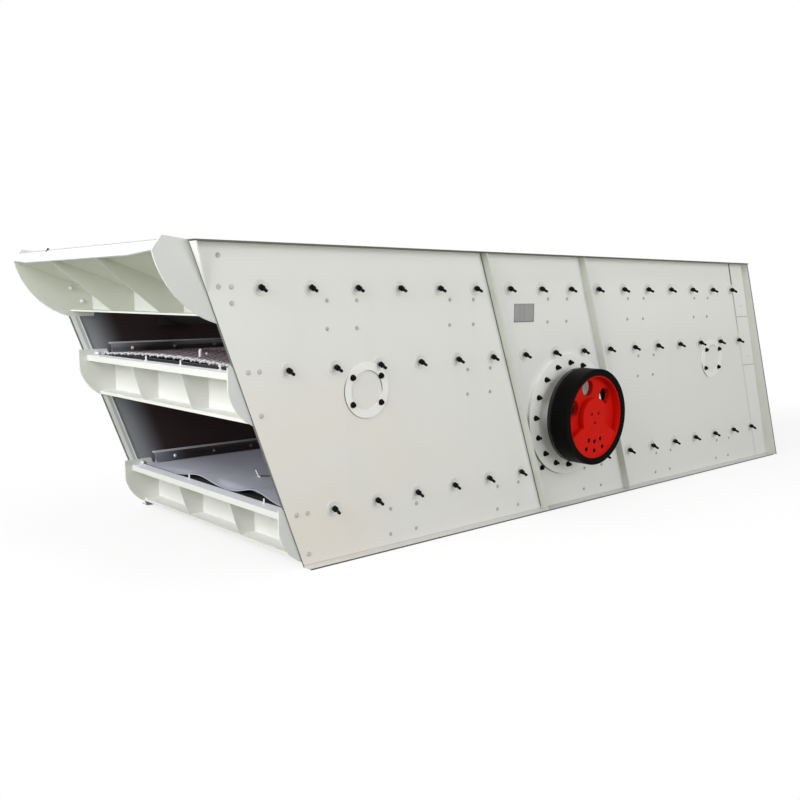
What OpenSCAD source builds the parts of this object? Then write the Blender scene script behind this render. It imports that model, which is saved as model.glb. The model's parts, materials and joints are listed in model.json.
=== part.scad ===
// Three-deck inclined vibrating screen with a circular-motion exciter.
// The machine stands level on the bottom flanges of its two side walls.
// +X runs from the feed end to the discharge end, -Y is the near side, +Z is up.
// A position "from the feed end" is measured level from the slanted end edge of the walls.

/* [Side walls] */
// Length of a side wall along its top edge
wall_l = 5855; // [5600:5:6200]
// Height of a side wall from the floor
wall_h = 1940; // [1900:5:2040]
// Width of the machine over the outer faces of its walls
wall_w = 2140; // [1800:10:2500]
// Thickness of the wall plate
wall_t = 10; // [8:1:14]
// Lean of the wall ends from upright, in degrees
end_slant = 20.3; // [18:0.1:22]
// How far the top and bottom flanges stand out from the wall
flange_w = 70; // [60:1:110]
// Thickness of the top and bottom flanges
flange_t = 10; // [8:1:14]
// Height of the tapered gusset under the top flange at the feed end
corner_h = 270; // [150:5:400]
// Thickness of that gusset
corner_t = 10; // [6:1:16]
// Level gap between the bearing flange and each upright rib, at the exciter's height
rib_gap = 76; // [60:1:120]
// How far the upright ribs stand out from the wall
rib_w = 60; // [40:1:70]
// Thickness of the upright ribs
rib_t = 12; // [8:1:20]
// Width of the wall strip at the discharge end
end_strip_w = 243; // [200:1:300]
// How far the discharge-end flange stands out from the wall at its top
end_flange_top = 62; // [50:1:70]
// How far the discharge-end flange stands out from the wall at its foot
end_flange_foot = 104; // [70:1:120]
// Thickness of the discharge-end flange
end_flange_t = 12; // [8:1:20]
// Width of the stiffening bars inside the feed end
end_bar_w = 70; // [50:1:100]

/* [Spring pads] */
// First spring pad, from the feed end
spring_a = 880; // [800:5:950]
// Second spring pad, from the discharge end
spring_end = 803; // [700:1:900]
// Outside diameter of a spring pad
pad_d = 356; // [340:2:400]
// Inside diameter of a spring pad
pad_bore = 250; // [200:2:250]
// Thickness of a spring pad
pad_t = 6; // [4:1:12]
// Hole spacing of a pad along the machine
pad_hole_x = 228; // [220:1:240]
// Hole spacing of a pad up the wall
pad_hole_z = 170; // [160:1:180]
// Diameter of the pad's bolt holes
pad_hole_d = 26; // [18:1:30]

/* [Decks] */
// Height of the top deck's screening surface at its edges
top_deck_z = 1690; // [1680:1:1710]
// Height of the middle deck's screening surface at its edges
middle_deck_z = 1213; // [1195:1:1235]
// Height of the bottom deck's screening surface at its edges
bottom_deck_z = 347; // [340:1:365]
// Thickness of the screen cloth
cloth_t = 10; // [6:1:14]
// Rise of the cloth at the middle of the deck
crown_h = 28; // [10:1:45]
// Flat margin of the cloth beside each wall
cloth_margin = 110; // [100:1:160]
// Gap between the cloth's edge and the cheeks
cloth_gap = 6; // [4:1:10]
// Start of the cloth on the end lips, from the feed end
cloth_start = 110; // [80:1:160]
// Cloth left short of the discharge end
cloth_short = 120; // [60:1:180]
// Height of a cross beam's axis below the screening surface
beam_drop = 163; // [156:1:166]
// Outside diameter of the cross beam tubes
beam_d = 194; // [150:1:200]
// Wall of the cross beam tubes
beam_wall = 10; // [6:1:16]
// First cross beam of the top and bottom decks, from the feed end
beam_first = 850; // [800:5:900]
// Last cross beam of the top and bottom decks, from the discharge end
beam_end = 877; // [800:1:950]
// Cross beams on the top and bottom decks
beam_count = 5; // [4:1:5]
// Length of a beam's end flange along the machine
beam_flange_l = 290; // [280:1:320]
// Height of a beam's end flange
beam_flange_h = 236; // [225:1:240]
// Thickness of a beam's end flange
beam_flange_t = 16; // [10:1:24]
// Stringers that carry the cloth on each deck
stringer_count = 6; // [4:1:7]
// Pitch of the stringers
stringer_pitch = 300; // [220:5:310]
// Thickness of a stringer
stringer_t = 12; // [8:1:20]
// Width of the edge bars beside the walls
edge_bar_w = 40; // [30:1:60]
// Height of the edge bars
edge_bar_h = 26; // [20:1:32]
// Bars of the top cloth between its openings
mesh_bar = 34; // [24:1:44]
// Rows of openings along the top cloth
mesh_rows = 20; // [12:1:22]
// Height of the tension rails
rail_h = 80; // [76:1:100]
// Reach of the tension rails from the wall
rail_reach = 60; // [52:1:66]
// Height of the rails' upright foot on the cloth
rail_foot = 40; // [30:1:46]
// Bow of the rails' bend from the foot to the wall
rail_bow = 14; // [8:1:18]
// Plate thickness of the tension rails
rail_t = 9; // [6:1:12]
// Gap between the rails' foot and the cloth
rail_gap = 0.3; // [0.2:0.05:0.5]
// Start of the tension rails, from the feed end
rail_start = 186; // [185:1:260]
// Tension rails left short of the discharge end
rail_short = 150; // [60:1:300]

/* [End lips] */
// Thickness of the cheeks and of the feed-end bars
cheek_t = 12; // [8:1:16]
// How deep a cheek reaches inside the walls
cheek_depth = 180; // [120:1:184]
// Rise of a cheek over its ledge
cheek_rise = 42; // [20:1:60]
// How far a cheek stands out past the end edge at ledge height
cheek_out = 48; // [36:1:60]
// Upright length of a cheek's front edge below its ledge
cheek_front = 95; // [60:1:110]
// Depth of a cheek below its ledge
cheek_drop = 302; // [298:1:330]
// Bow of a cheek's curved lower edge
cheek_bow = 30; // [20:1:50]
// Plate thickness of the lip channels
lip_t = 8; // [5:1:12]
// Setback of a ledge's front behind the end edge
ledge_set = 12; // [4:1:24]
// Height of the turned-down front of a ledge
ledge_nose = 40; // [25:1:60]
// Back plate of a lip, from the end edge at ledge height
lip_back = 222; // [200:1:235]
// Depth of a lip's bottom flange below its ledge
lip_depth = 270; // [240:1:275]
// Front of a lip's bottom flange, from the end edge at ledge height
lip_foot = 100; // [90:1:130]
// Height of the bottom flange's turned-down front
foot_nose = 22; // [18:1:23]
// Thickness of the gussets in the lips
gusset_t = 10; // [6:1:16]
// Foot of a gusset's free edge behind the bottom flange's front
gusset_set = 4; // [2:1:20]
// Length of the discharge lips along the machine
discharge_l = 220; // [200:5:300]
// Depth of a discharge lip's turned-down end
discharge_nose = 70; // [40:1:100]

/* [Feed box] */
// How far the feed box reaches out past the walls' top corner
feed_reach = 205; // [150:1:260]
// Height of the cheek's lower front corner below the walls' top
feed_corner = 62; // [40:1:80]
// Setback of the cheek's upper front corner
feed_set = 57; // [30:1:80]
// Rise of the cheek's upper front corner over the walls
feed_rise = 17; // [0:1:40]
// Height of the box's foot below the top deck
feed_foot = 200; // [180:1:215]
// Bow of the box cheeks' curved lower edge
feed_bow = 73; // [40:1:90]
// Height of the front strip along its lean
strip_h = 92; // [70:1:110]
// Thickness of the front strip
strip_t = 10; // [6:1:16]
// How far the strip hangs below the cheeks' front corner
strip_hang = 22; // [10:1:30]
// Length of the cut at the strip's lower corners
strip_cut = 260; // [100:5:400]
// Height on the strip at which the floor meets it
floor_seat = 34; // [32:1:44]
// Back plate of the feed box, from the walls' top corner
feed_back = 340; // [320:1:360]
// Bottom flange's front, from the walls' top corner
feed_shelf = 178; // [160:1:200]
// Height of the bottom flange below the top deck
feed_shelf_drop = 152; // [140:1:165]

/* [Exciter] */
// Exciter axis past the middle of the walls' top edge
exciter_off = 302; // [250:1:350]
// Height of the exciter axis
exciter_z = 722; // [700:1:750]
// Outside diameter of the exciter tube
tube_d = 440; // [400:2:480]
// Wall of the exciter tube
tube_wall = 12; // [8:1:20]
// Diameter of the bearing flange
bearing_d = 940; // [900:2:950]
// Thickness of the bearing flange
bearing_t = 20; // [12:1:30]
// Diameter of the bearing cap
cap_d = 300; // [240:2:360]
// Height of the bearing cap on its flange
cap_t = 24; // [10:1:30]
// Depth of the bearing housing inside the tube
housing_l = 160; // [80:5:240]
// Gap around the bearing housing
housing_gap = 0.3; // [0.2:0.05:0.5]
// Shaft diameter
shaft_d = 120; // [90:1:140]
// Running clearance of the shaft in its bearings, at the radius
shaft_gap = 0.05; // [0.02:0.01:0.09]

/* [Flywheels] */
// Outside diameter of a flywheel
wheel_d = 732; // [650:2:780]
// Thickness of the flywheel's rim at the radius
rim_wall = 50; // [40:1:70]
// Reach of a flywheel's front face from the wall
wheel_front_l = 284; // [270:2:320]
// Back face of a flywheel, from the wall
wheel_back = 102; // [80:1:110]
// Gap between the wheel's fitted pieces, at the radius
wheel_gap = 0.3; // [0.2:0.05:0.5]
// Depth of the dished floor below the rim's front
dish_set = 62; // [50:1:80]
// Thickness of the dished floor
web_t = 40; // [24:1:50]
// Thickness of the dish's wall inside the rim
dish_wall = 10; // [6:1:16]
// Depth of the dish wall's edge below the rim's front
dish_lip = 6; // [2:1:12]
// Diameter of the hub
hub_d = 290; // [240:2:300]
// Depth of the hub's and the weight's face below the rim's front
face_set = 15; // [10:1:30]
// Length of the hub behind the dished floor
hub_back = 48; // [20:1:54]
// Thickness of the hub's closed front
hub_front = 14; // [8:1:20]
// Diameter of the small holes in the hub's front
hub_hole_d = 22; // [10:1:24]
// Radius of the circle of hub holes
hub_hole_r = 46; // [30:1:48]
// Web left on each side of a round window, towards the hub and the dish's wall
window_edge = 16; // [12:1:30]
// Angle between the windows, in degrees
window_step = 60; // [46:1:62]
// Angle of the middle window from upright, in degrees
window_turn = 10; // [0:1:20]
// Angle from level to the edges of the weight in the wheel's lower part, in degrees
weight_edge = 28; // [24:1:34]
// Diameter of the holes in the weight
weight_hole_d = 34; // [20:1:40]
// Depth of those holes
weight_hole_l = 60; // [20:1:70]
// Inner row of weight holes, as a share of the way from the hub to the dish's wall
weight_row_in = 0.27; // [0.2:0.01:0.32]
// Outer row of weight holes, as a share of that way
weight_row_out = 0.71; // [0.65:0.01:0.8]
// Angle between weight holes, in degrees
weight_hole_step = 22.5; // [18:0.5:24]

/* [Hidden] */

$fn = 96;
half_out = wall_w / 2;
half_in = half_out - wall_t;
half_clear = half_in - cheek_t;
plate_top = wall_h - flange_t;
slope = tan(end_slant);
arc_steps = 14;
// Overrun of a cut past the piece it goes through
cut = 1;

// Level distance of the feed end's edge from the walls' top corner, at height z
function lean(z) = (wall_h - z) * slope;

// Direction of the feed box's leaning front edge
feed_front = [feed_set, feed_corner + feed_rise];
feed_lean = feed_front / norm(feed_front);

// Middle of the machine's length, from the strip's foot to the walls' far corner, is the origin
x_mid = (wall_l + lean(0) - feed_reach - strip_hang * feed_lean[0]) / 2;

// Places along the walls
exciter_x = wall_l / 2 + exciter_off;
exciter_e = exciter_x - lean(exciter_z);
rib_a = exciter_e - bearing_d / 2 - rib_gap;
rib_b = exciter_e + bearing_d / 2 + rib_gap;
strip_e = wall_l - end_strip_w;
spring_b = wall_l - spring_end;
beam_pitch = (wall_l - beam_first - beam_end) / (beam_count - 1);

spring_z = middle_deck_z - beam_drop;
top_ledge = top_deck_z - cloth_t;
middle_ledge = middle_deck_z - cloth_t;
bottom_ledge = bottom_deck_z - cloth_t;
feed_foot_z = top_deck_z - feed_foot;
// Where the pieces of the decks start behind the feed box and behind the lips' back plates
feed_clear = feed_back + 2 * lip_t;
lip_clear = lip_back + 2 * lip_t;
tube_bore = tube_d - 2 * tube_wall;
end_beams = [for (i = [0 : beam_count - 1]) beam_first + i * beam_pitch];
middle_beams_e = [spring_a, beam_first + beam_pitch, beam_first + 3 * beam_pitch, spring_b];

paint = [0.83, 0.83, 0.81];
lip_paint = [0.86, 0.87, 0.84];
dark_steel = [0.22, 0.21, 0.22];
cloth_steel = [0.52, 0.52, 0.55];
rail_black = [0.16, 0.15, 0.16];
wheel_red = [0.84, 0.1, 0.06];
rim_black = [0.07, 0.07, 0.07];
bright_steel = [0.7, 0.7, 0.72];

// Points of an arc from p to q that bows out to the right of the way from p to q
function arc(p, q, bow) =
  let (
    d = q - p,
    len = norm(d),
    side = [d[1], -d[0]] / len,
    r = (len * len / 4 + bow * bow) / (2 * bow),
    middle = (p + q) / 2 - side * (r - bow),
    half = asin(len / 2 / r),
    start = atan2(side[1], side[0]) - half
  )
  [
    for (i = [0 : arc_steps])
      let (a = start + 2 * half * i / arc_steps)
        middle + r * [cos(a), sin(a)]
  ];

// Height of the cloth's crown over its edges, at distance y from the middle, along its flat facets
crown_steps = 6;
arch = half_in - cloth_margin;
crown_line = [
  for (i = [0 : crown_steps])
    [arch * i / crown_steps, crown_h * (1 - pow(i / crown_steps, 2))]
];
function crown(y) = lookup(abs(y), crown_line);

// End of the cloth of a deck, short of the discharge end
function cloth_end(z) = lean(z - cloth_t) + wall_l - cloth_short;

// Draws an outline in X and Z and runs it across the machine from y over width w
module across(y, w) {
  translate([-x_mid, y + w, 0])
    rotate([90, 0, 0])
      linear_extrude(w)
        children();
}

// Draws an outline in Y and Z and runs it along the machine from x over length l
module along(x, l) {
  translate([x - x_mid, 0, 0])
    rotate([90, 0, 90])
      linear_extrude(l)
        children();
}

module both_sides() {
  children();
  mirror([0, 1, 0]) children();
}

// A band that follows the slanted ends, between two distances from the feed end
module slanted(e0, e1, z0, z1) {
  polygon([
    [e0 + lean(z0), z0],
    [e1 + lean(z0), z0],
    [e1 + lean(z1), z1],
    [e0 + lean(z1), z1]
  ]);
}

// The four bolt holes of a pad or end flange, about its centre
module bolt_square() {
  for (sx = [-1, 1], sz = [-1, 1])
    translate([sx * pad_hole_x / 2, sz * pad_hole_z / 2])
      circle(d = pad_hole_d);
}

module at_spring(e) {
  translate([e + lean(spring_z), spring_z]) children();
}

// Side walls
module feed_wall() {
  across(-half_out, wall_t)
    difference() {
      slanted(0, rib_a, flange_t, plate_top);
      at_spring(spring_a) bolt_square();
    }
}

module exciter_wall() {
  across(-half_out, wall_t)
    difference() {
      slanted(rib_a, rib_b, flange_t, plate_top);
      translate([exciter_x, exciter_z]) circle(d = tube_bore);
    }
}

module discharge_wall() {
  across(-half_out, wall_t)
    difference() {
      slanted(rib_b, strip_e, flange_t, plate_top);
      at_spring(spring_b) bolt_square();
    }
}

module near_feed_wall() {
  color(paint) feed_wall();
}

module near_exciter_wall() {
  color(paint) exciter_wall();
}

module near_discharge_wall() {
  color(paint) discharge_wall();
}

module far_feed_wall() {
  color(paint) mirror([0, 1, 0]) feed_wall();
}

module far_exciter_wall() {
  color(paint) mirror([0, 1, 0]) exciter_wall();
}

module far_discharge_wall() {
  color(paint) mirror([0, 1, 0]) discharge_wall();
}

module discharge_strips() {
  color(paint)
    both_sides()
      across(-half_out, wall_t)
        slanted(strip_e, wall_l, flange_t, plate_top);
}

// Tapered gusset that closes the end of the top flange
module corner_gusset() {
  intersection() {
    across(-half_out - flange_w, flange_w)
      slanted(0, corner_t, plate_top - corner_h, plate_top);
    along(0, lean(plate_top - corner_h) + corner_t)
      polygon([
        [-half_out, plate_top],
        [-half_out - flange_w, plate_top],
        [-half_out, plate_top - corner_h]
      ]);
  }
}

module top_flanges() {
  color(paint)
    both_sides() {
      across(-half_out - flange_w, flange_w + wall_t)
        slanted(0, wall_l, plate_top, wall_h);
      corner_gusset();
    }
}

module bottom_flanges() {
  color(paint)
    both_sides()
      across(-half_out - flange_w, flange_w + wall_t)
        slanted(0, wall_l, 0, flange_t);
}

module wall_ribs() {
  color(paint)
    both_sides()
      for (e = [rib_a, rib_b])
        across(-half_out - rib_w, rib_w)
          slanted(e - rib_t / 2, e + rib_t / 2, flange_t, plate_top);
}

// Flange at the discharge end, wider at its foot than at its top
module discharge_end_flanges() {
  color(paint)
    both_sides()
      intersection() {
        across(-half_out - end_flange_foot, end_flange_foot)
          slanted(wall_l - end_flange_t, wall_l, flange_t, plate_top);
        along(wall_l - end_flange_t, lean(flange_t) + end_flange_t)
          polygon([
            [-half_out, flange_t],
            [-half_out - end_flange_foot, flange_t],
            [-half_out - end_flange_top, plate_top],
            [-half_out, plate_top]
          ]);
      }
}

module feed_end_bars() {
  color(paint)
    both_sides()
      across(-half_in, cheek_t) {
        slanted(0, end_bar_w, middle_ledge + cheek_rise, feed_foot_z);
        slanted(0, end_bar_w, bottom_ledge + cheek_rise, middle_ledge - cheek_drop);
      }
}

module spring_pads() {
  color(paint)
    both_sides()
      for (e = [spring_a, spring_b])
        across(-half_out - pad_t, pad_t)
          at_spring(e)
            difference() {
              circle(d = pad_d);
              circle(d = pad_bore);
              bolt_square();
            }
}

// Feed box
feed_tip = [-feed_reach, wall_h - feed_corner];
strip_foot = feed_tip - strip_hang * feed_lean + strip_t * [feed_lean[1], -feed_lean[0]];
floor_front = strip_foot + floor_seat * feed_lean;
floor_back = [feed_back + lip_t, top_ledge];
floor_fall = (floor_back[1] - floor_front[1]) / (floor_back[0] - floor_front[0]);
floor_under = [feed_back, floor_back[1] - floor_fall * lip_t - lip_t * sqrt(1 + floor_fall * floor_fall)];
floor_lip = floor_front - lip_t * feed_lean;
shelf_z = top_deck_z - feed_shelf_drop;

module feed_box_cheeks() {
  color(lip_paint)
    both_sides()
      across(-half_in, cheek_t)
        polygon(concat(
          [
            [0, wall_h],
            feed_tip + feed_front
          ],
          arc(feed_tip, [lean(feed_foot_z), feed_foot_z], feed_bow),
          [
            [feed_back + lip_t, feed_foot_z],
            [feed_back + lip_t, wall_h]
          ]
        ));
}

module feed_box_pan() {
  color(lip_paint)
    across(-half_clear, 2 * half_clear)
      polygon([
        floor_front,
        floor_back,
        [feed_back + lip_t, shelf_z - lip_t],
        [feed_shelf + lip_t, shelf_z - lip_t],
        [feed_shelf + lip_t, shelf_z - foot_nose / 2],
        [feed_shelf, shelf_z - foot_nose / 2],
        [feed_shelf, shelf_z],
        [feed_back, shelf_z],
        floor_under,
        floor_lip
      ]);
}

module feed_box_strip() {
  angle = atan2(feed_lean[1], feed_lean[0]);
  color(lip_paint)
    translate([strip_foot[0] - x_mid, 0, strip_foot[1]])
      rotate([0, 90 - angle, 0])
        rotate([90, 0, -90])
          linear_extrude(strip_t)
            polygon([
              [-half_clear + strip_cut, 0],
              [half_clear - strip_cut, 0],
              [half_clear, strip_hang],
              [half_clear, strip_h],
              [-half_clear, strip_h],
              [-half_clear, strip_hang]
            ]);
}

module feed_box_ribs() {
  color(lip_paint)
    for (s = [-1, 1])
      across(s * half_clear / 3 - gusset_t / 2, gusset_t)
        polygon([
          [feed_shelf + gusset_set, shelf_z],
          [feed_back, shelf_z],
          floor_under,
          floor_lip,
          strip_foot
        ]);
}

// End lips of the middle and bottom decks
module lip_cheeks(z) {
  x = lean(z);
  back = x + lip_back + lip_t;
  low = z - ledge_nose;
  both_sides()
    across(-half_in, cheek_t)
      polygon(concat(
        [[x - cheek_out, z + cheek_rise]],
        arc([x - cheek_out, z - cheek_front], [lean(z - cheek_drop), z - cheek_drop], cheek_bow),
        [
          [back, z - cheek_drop],
          [back, low],
          [lean(low) + cheek_depth, low],
          [lean(z + cheek_rise) + cheek_depth, z + cheek_rise]
        ]
      ));
}

module lip_channel(z) {
  x = lean(z);
  front = x + ledge_set;
  back = x + lip_back;
  foot = x + lip_foot;
  shelf = z - lip_depth;
  across(-half_clear, 2 * half_clear)
    polygon([
      [front, z],
      [back + lip_t, z],
      [back + lip_t, shelf - lip_t],
      [foot + lip_t, shelf - lip_t],
      [foot + lip_t, shelf - foot_nose],
      [foot, shelf - foot_nose],
      [foot, shelf],
      [back, shelf],
      [back, z - lip_t],
      [front + lip_t, z - lip_t],
      [front + lip_t, z - ledge_nose],
      [front, z - ledge_nose]
    ]);
}

module lip_gussets(z) {
  x = lean(z);
  for (s = [-1, 1])
    across(s * half_clear / 3 - gusset_t / 2, gusset_t)
      polygon([
        [x + ledge_set + lip_t, z - lip_t],
        [x + lip_back, z - lip_t],
        [x + lip_back, z - lip_depth],
        [x + lip_foot + gusset_set, z - lip_depth]
      ]);
}

module middle_lip_cheeks() {
  color(lip_paint) lip_cheeks(middle_ledge);
}

module middle_lip_channel() {
  color(lip_paint) lip_channel(middle_ledge);
}

module middle_lip_gussets() {
  color(lip_paint) lip_gussets(middle_ledge);
}

module bottom_lip_cheeks() {
  color(lip_paint) lip_cheeks(bottom_ledge);
}

module bottom_lip_channel() {
  color(lip_paint) lip_channel(bottom_ledge);
}

module bottom_lip_gussets() {
  color(lip_paint) lip_gussets(bottom_ledge);
}

// Plain lips that carry the cloth at the discharge end
module discharge_lips() {
  color(lip_paint)
    for (z = [top_ledge, middle_ledge, bottom_ledge]) {
      x = lean(z) + wall_l;
      across(-half_in, 2 * half_in)
        polygon([
          [x - discharge_l, z],
          [x, z],
          [x, z - discharge_nose],
          [x - lip_t, z - discharge_nose],
          [x - lip_t, z - lip_t],
          [x - discharge_l, z - lip_t]
        ]);
    }
}

// Cross beams: tubes with flanged ends, bolted between the walls
module beam(e, z, drilled) {
  translate([e + lean(z) - x_mid, 0, z])
    rotate([90, 0, 0])
      difference() {
        union() {
          cylinder(d = beam_d, h = 2 * half_in, center = true);
          for (s = [-1, 1])
            translate([0, 0, s * (half_in - beam_flange_t / 2)])
              linear_extrude(beam_flange_t, center = true)
                difference() {
                  square([beam_flange_l, beam_flange_h], center = true);
                  if (drilled) bolt_square();
                }
        }
        cylinder(d = beam_d - 2 * beam_wall, h = 2 * (half_in + cut), center = true);
      }
}

module top_beams() {
  color(dark_steel)
    for (e = end_beams) beam(e, top_deck_z - beam_drop, false);
}

module middle_beams() {
  color(dark_steel)
    for (e = middle_beams_e) beam(e, spring_z, e == spring_a || e == spring_b);
}

module bottom_beams() {
  color(dark_steel)
    for (e = end_beams) beam(e, bottom_deck_z - beam_drop, false);
}

// Stringers on the beams, and edge bars on the walls, that carry the cloth
module stringers(z, x0) {
  under = z - cloth_t;
  seat = z - beam_drop + beam_d / 2;
  x1 = lean(under) + wall_l - discharge_l - lip_t;
  for (i = [0 : stringer_count - 1]) {
    y = (i - (stringer_count - 1) / 2) * stringer_pitch;
    top = under + crown(abs(y) + stringer_t / 2);
    translate([x0 - x_mid, y - stringer_t / 2, seat])
      cube([x1 - x0, stringer_t, top - seat]);
  }
  both_sides()
    translate([x0 - x_mid, -half_in, under - edge_bar_h])
      cube([x1 - x0, edge_bar_w, edge_bar_h]);
}

module top_stringers() {
  color(dark_steel) stringers(top_deck_z, feed_clear);
}

module middle_stringers() {
  color(dark_steel) stringers(middle_deck_z, lean(middle_ledge) + lip_clear);
}

module bottom_stringers() {
  color(dark_steel) stringers(bottom_deck_z, lean(bottom_ledge) + lip_clear);
}

// Crowned screen cloth
module cloth(z, x0) {
  half = half_clear - cloth_gap;
  ys = [for (i = [-crown_steps : crown_steps]) arch * i / crown_steps];
  top = [for (y = ys) [y, z + crown(y)]];
  under = [for (i = [len(ys) - 1 : -1 : 0]) [ys[i], z - cloth_t + crown(ys[i])]];
  along(x0, cloth_end(z) - x0)
    polygon(concat([[-half, z]], top, [[half, z], [half, z - cloth_t]], under, [[-half, z - cloth_t]]));
}

// Plan of the top cloth's openings, one on each flat of the crown
module openings(length) {
  row = length / mesh_rows;
  flat = arch / crown_steps;
  for (i = [0 : mesh_rows - 1], j = [-crown_steps : crown_steps - 1])
    translate([i * row + mesh_bar / 2, j * flat + mesh_bar / 2])
      square([row - mesh_bar, flat - mesh_bar]);
}

module top_cloth() {
  length = cloth_end(top_deck_z) - feed_clear;
  color(cloth_steel)
    intersection() {
      cloth(top_deck_z, feed_clear);
      translate([feed_clear - x_mid, 0, top_deck_z - cloth_t - cut])
        linear_extrude(cloth_t + crown_h + 2 * cut)
          difference() {
            translate([-cut, -half_in]) square([length + 2 * cut, 2 * half_in]);
            openings(length);
          }
    }
}

module middle_cloth() {
  color(cloth_steel) cloth(middle_deck_z, lean(middle_ledge) + cloth_start);
}

module bottom_cloth() {
  color(cloth_steel) cloth(bottom_deck_z, lean(bottom_ledge) + cloth_start);
}

// Tension rails: curved strips from the wall down onto the cloth's flat margin
module rails(z, x0) {
  foot = z + rail_gap;
  inner = rail_reach - rail_t;
  under = arc([inner, rail_foot], [0, rail_h - 2 * rail_t], rail_bow);
  both_sides()
    along(x0, lean(z) + wall_l - rail_short - x0)
      translate([-half_in, foot])
        polygon(concat(
          [
            [inner, 0],
            [rail_reach, 0]
          ],
          arc([rail_reach, rail_foot], [0, rail_h], rail_bow),
          [for (i = [arc_steps : -1 : 0]) under[i]]
        ));
}

module top_rails() {
  color(rail_black) rails(top_deck_z, feed_clear);
}

module middle_rails() {
  color(rail_black) rails(middle_deck_z, lean(middle_deck_z) + rail_start);
}

module bottom_rails() {
  color(rail_black) rails(bottom_deck_z, lean(bottom_deck_z) + rail_start);
}

// Exciter
module on_axis() {
  translate([exciter_x - x_mid, 0, exciter_z])
    rotate([90, 0, 0])
      children();
}

module exciter_tube() {
  color(dark_steel)
    on_axis()
      difference() {
        cylinder(d = tube_d, h = 2 * half_in, center = true);
        cylinder(d = tube_bore, h = 2 * (half_in + cut), center = true);
      }
}

// Bearing housing of the near side: a barrel in the tube, a round flange and a cap
module bearing() {
  bore = shaft_d + 2 * shaft_gap;
  on_axis()
    rotate_extrude()
      polygon([
        [bore / 2, half_in - housing_l],
        [tube_bore / 2 - housing_gap, half_in - housing_l],
        [tube_bore / 2 - housing_gap, half_out],
        [bearing_d / 2, half_out],
        [bearing_d / 2, half_out + bearing_t],
        [cap_d / 2, half_out + bearing_t],
        [cap_d / 2, half_out + bearing_t + cap_t],
        [bore / 2, half_out + bearing_t + cap_t]
      ]);
}

module near_bearing() {
  color(paint) bearing();
}

module far_bearing() {
  color(paint) mirror([0, 1, 0]) bearing();
}

// Rotor
rim_front = half_out + wheel_front_l;
floor_y = rim_front - dish_set;
face_y = rim_front - face_set;
rim_bore = wheel_d - 2 * rim_wall;
dish_r = rim_bore / 2 - wheel_gap;
web_l = dish_r - dish_wall - hub_d / 2;
window_d = web_l - 2 * window_edge;
window_r = hub_d / 2 + web_l / 2;

module shaft() {
  color(bright_steel)
    on_axis()
      cylinder(d = shaft_d, h = 2 * (face_y - hub_front), center = true);
}

module rim() {
  on_axis()
    translate([0, 0, half_out + wheel_back])
      linear_extrude(wheel_front_l - wheel_back)
        difference() {
          circle(d = wheel_d);
          circle(d = rim_bore);
        }
}

// Dish with its hub, which is closed in front of the shaft's end
module dish() {
  bore_r = shaft_d / 2 + wheel_gap;
  rotate_extrude()
    polygon([
      [0, face_y - hub_front],
      [bore_r, face_y - hub_front],
      [bore_r, floor_y - web_t - hub_back],
      [hub_d / 2, floor_y - web_t - hub_back],
      [hub_d / 2, floor_y - web_t],
      [dish_r, floor_y - web_t],
      [dish_r, rim_front - dish_lip],
      [dish_r - dish_wall, rim_front - dish_lip],
      [dish_r - dish_wall, floor_y],
      [hub_d / 2, floor_y],
      [hub_d / 2, face_y],
      [0, face_y]
    ]);
}

// Out-of-balance weight that fills the dish's lower part between hub and wall
module weight() {
  reach = 2 * dish_r;
  overlap = dish_wall / 2;
  translate([0, 0, floor_y - overlap])
    linear_extrude(face_y - floor_y + overlap)
      intersection() {
        difference() {
          circle(r = dish_r - overlap);
          circle(r = hub_d / 2 - overlap);
        }
        polygon([
          [0, 0],
          reach * [-cos(weight_edge), -sin(weight_edge)],
          [-reach, -reach],
          [reach, -reach],
          reach * [cos(weight_edge), -sin(weight_edge)]
        ]);
      }
}

// A round hole into the wheel's face, at an angle and radius, down from a height over a depth
module face_hole(angle, r, d, y, depth) {
  rotate(angle)
    translate([r, 0, y - depth])
      cylinder(d = d, h = depth + dish_lip);
}

module web() {
  row_in = hub_d / 2 + weight_row_in * web_l;
  row_out = hub_d / 2 + weight_row_out * web_l;
  on_axis()
    difference() {
      union() {
        dish();
        weight();
      }
      for (i = [-1 : 1]) {
        face_hole(90 + window_turn + i * window_step, window_r, window_d, floor_y, web_t + dish_lip);
        face_hole(270 + i * weight_hole_step, row_in, weight_hole_d, face_y, weight_hole_l);
        face_hole(270 + i * weight_hole_step, row_out, weight_hole_d, face_y, weight_hole_l);
        face_hole(270 + i * 120, hub_hole_r, hub_hole_d, face_y, hub_front + dish_lip);
      }
    }
}

module near_rim() {
  color(rim_black) rim();
}

module near_web() {
  color(wheel_red) web();
}

module far_rim() {
  color(rim_black) mirror([0, 1, 0]) rim();
}

module far_web() {
  color(wheel_red) mirror([0, 1, 0]) web();
}

near_feed_wall();
near_exciter_wall();
near_discharge_wall();
far_feed_wall();
far_exciter_wall();
far_discharge_wall();
discharge_strips();
top_flanges();
bottom_flanges();
wall_ribs();
discharge_end_flanges();
feed_end_bars();
spring_pads();
feed_box_cheeks();
feed_box_pan();
feed_box_strip();
feed_box_ribs();
middle_lip_cheeks();
middle_lip_channel();
middle_lip_gussets();
bottom_lip_cheeks();
bottom_lip_channel();
bottom_lip_gussets();
discharge_lips();
top_beams();
middle_beams();
bottom_beams();
top_stringers();
middle_stringers();
bottom_stringers();
top_cloth();
middle_cloth();
bottom_cloth();
top_rails();
middle_rails();
bottom_rails();
exciter_tube();
near_bearing();
far_bearing();
shaft();
near_rim();
near_web();
far_rim();
far_web();
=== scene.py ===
"""Dressed model of a three-deck vibrating screen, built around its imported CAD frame.

All sizes are in metres and in the frame of the CAD model: +X runs from the feed end to the discharge
end, -Y is the near side and +Z is up. A distance e is measured level from the walls' slanted feed edge.
"""

from __future__ import annotations

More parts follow.
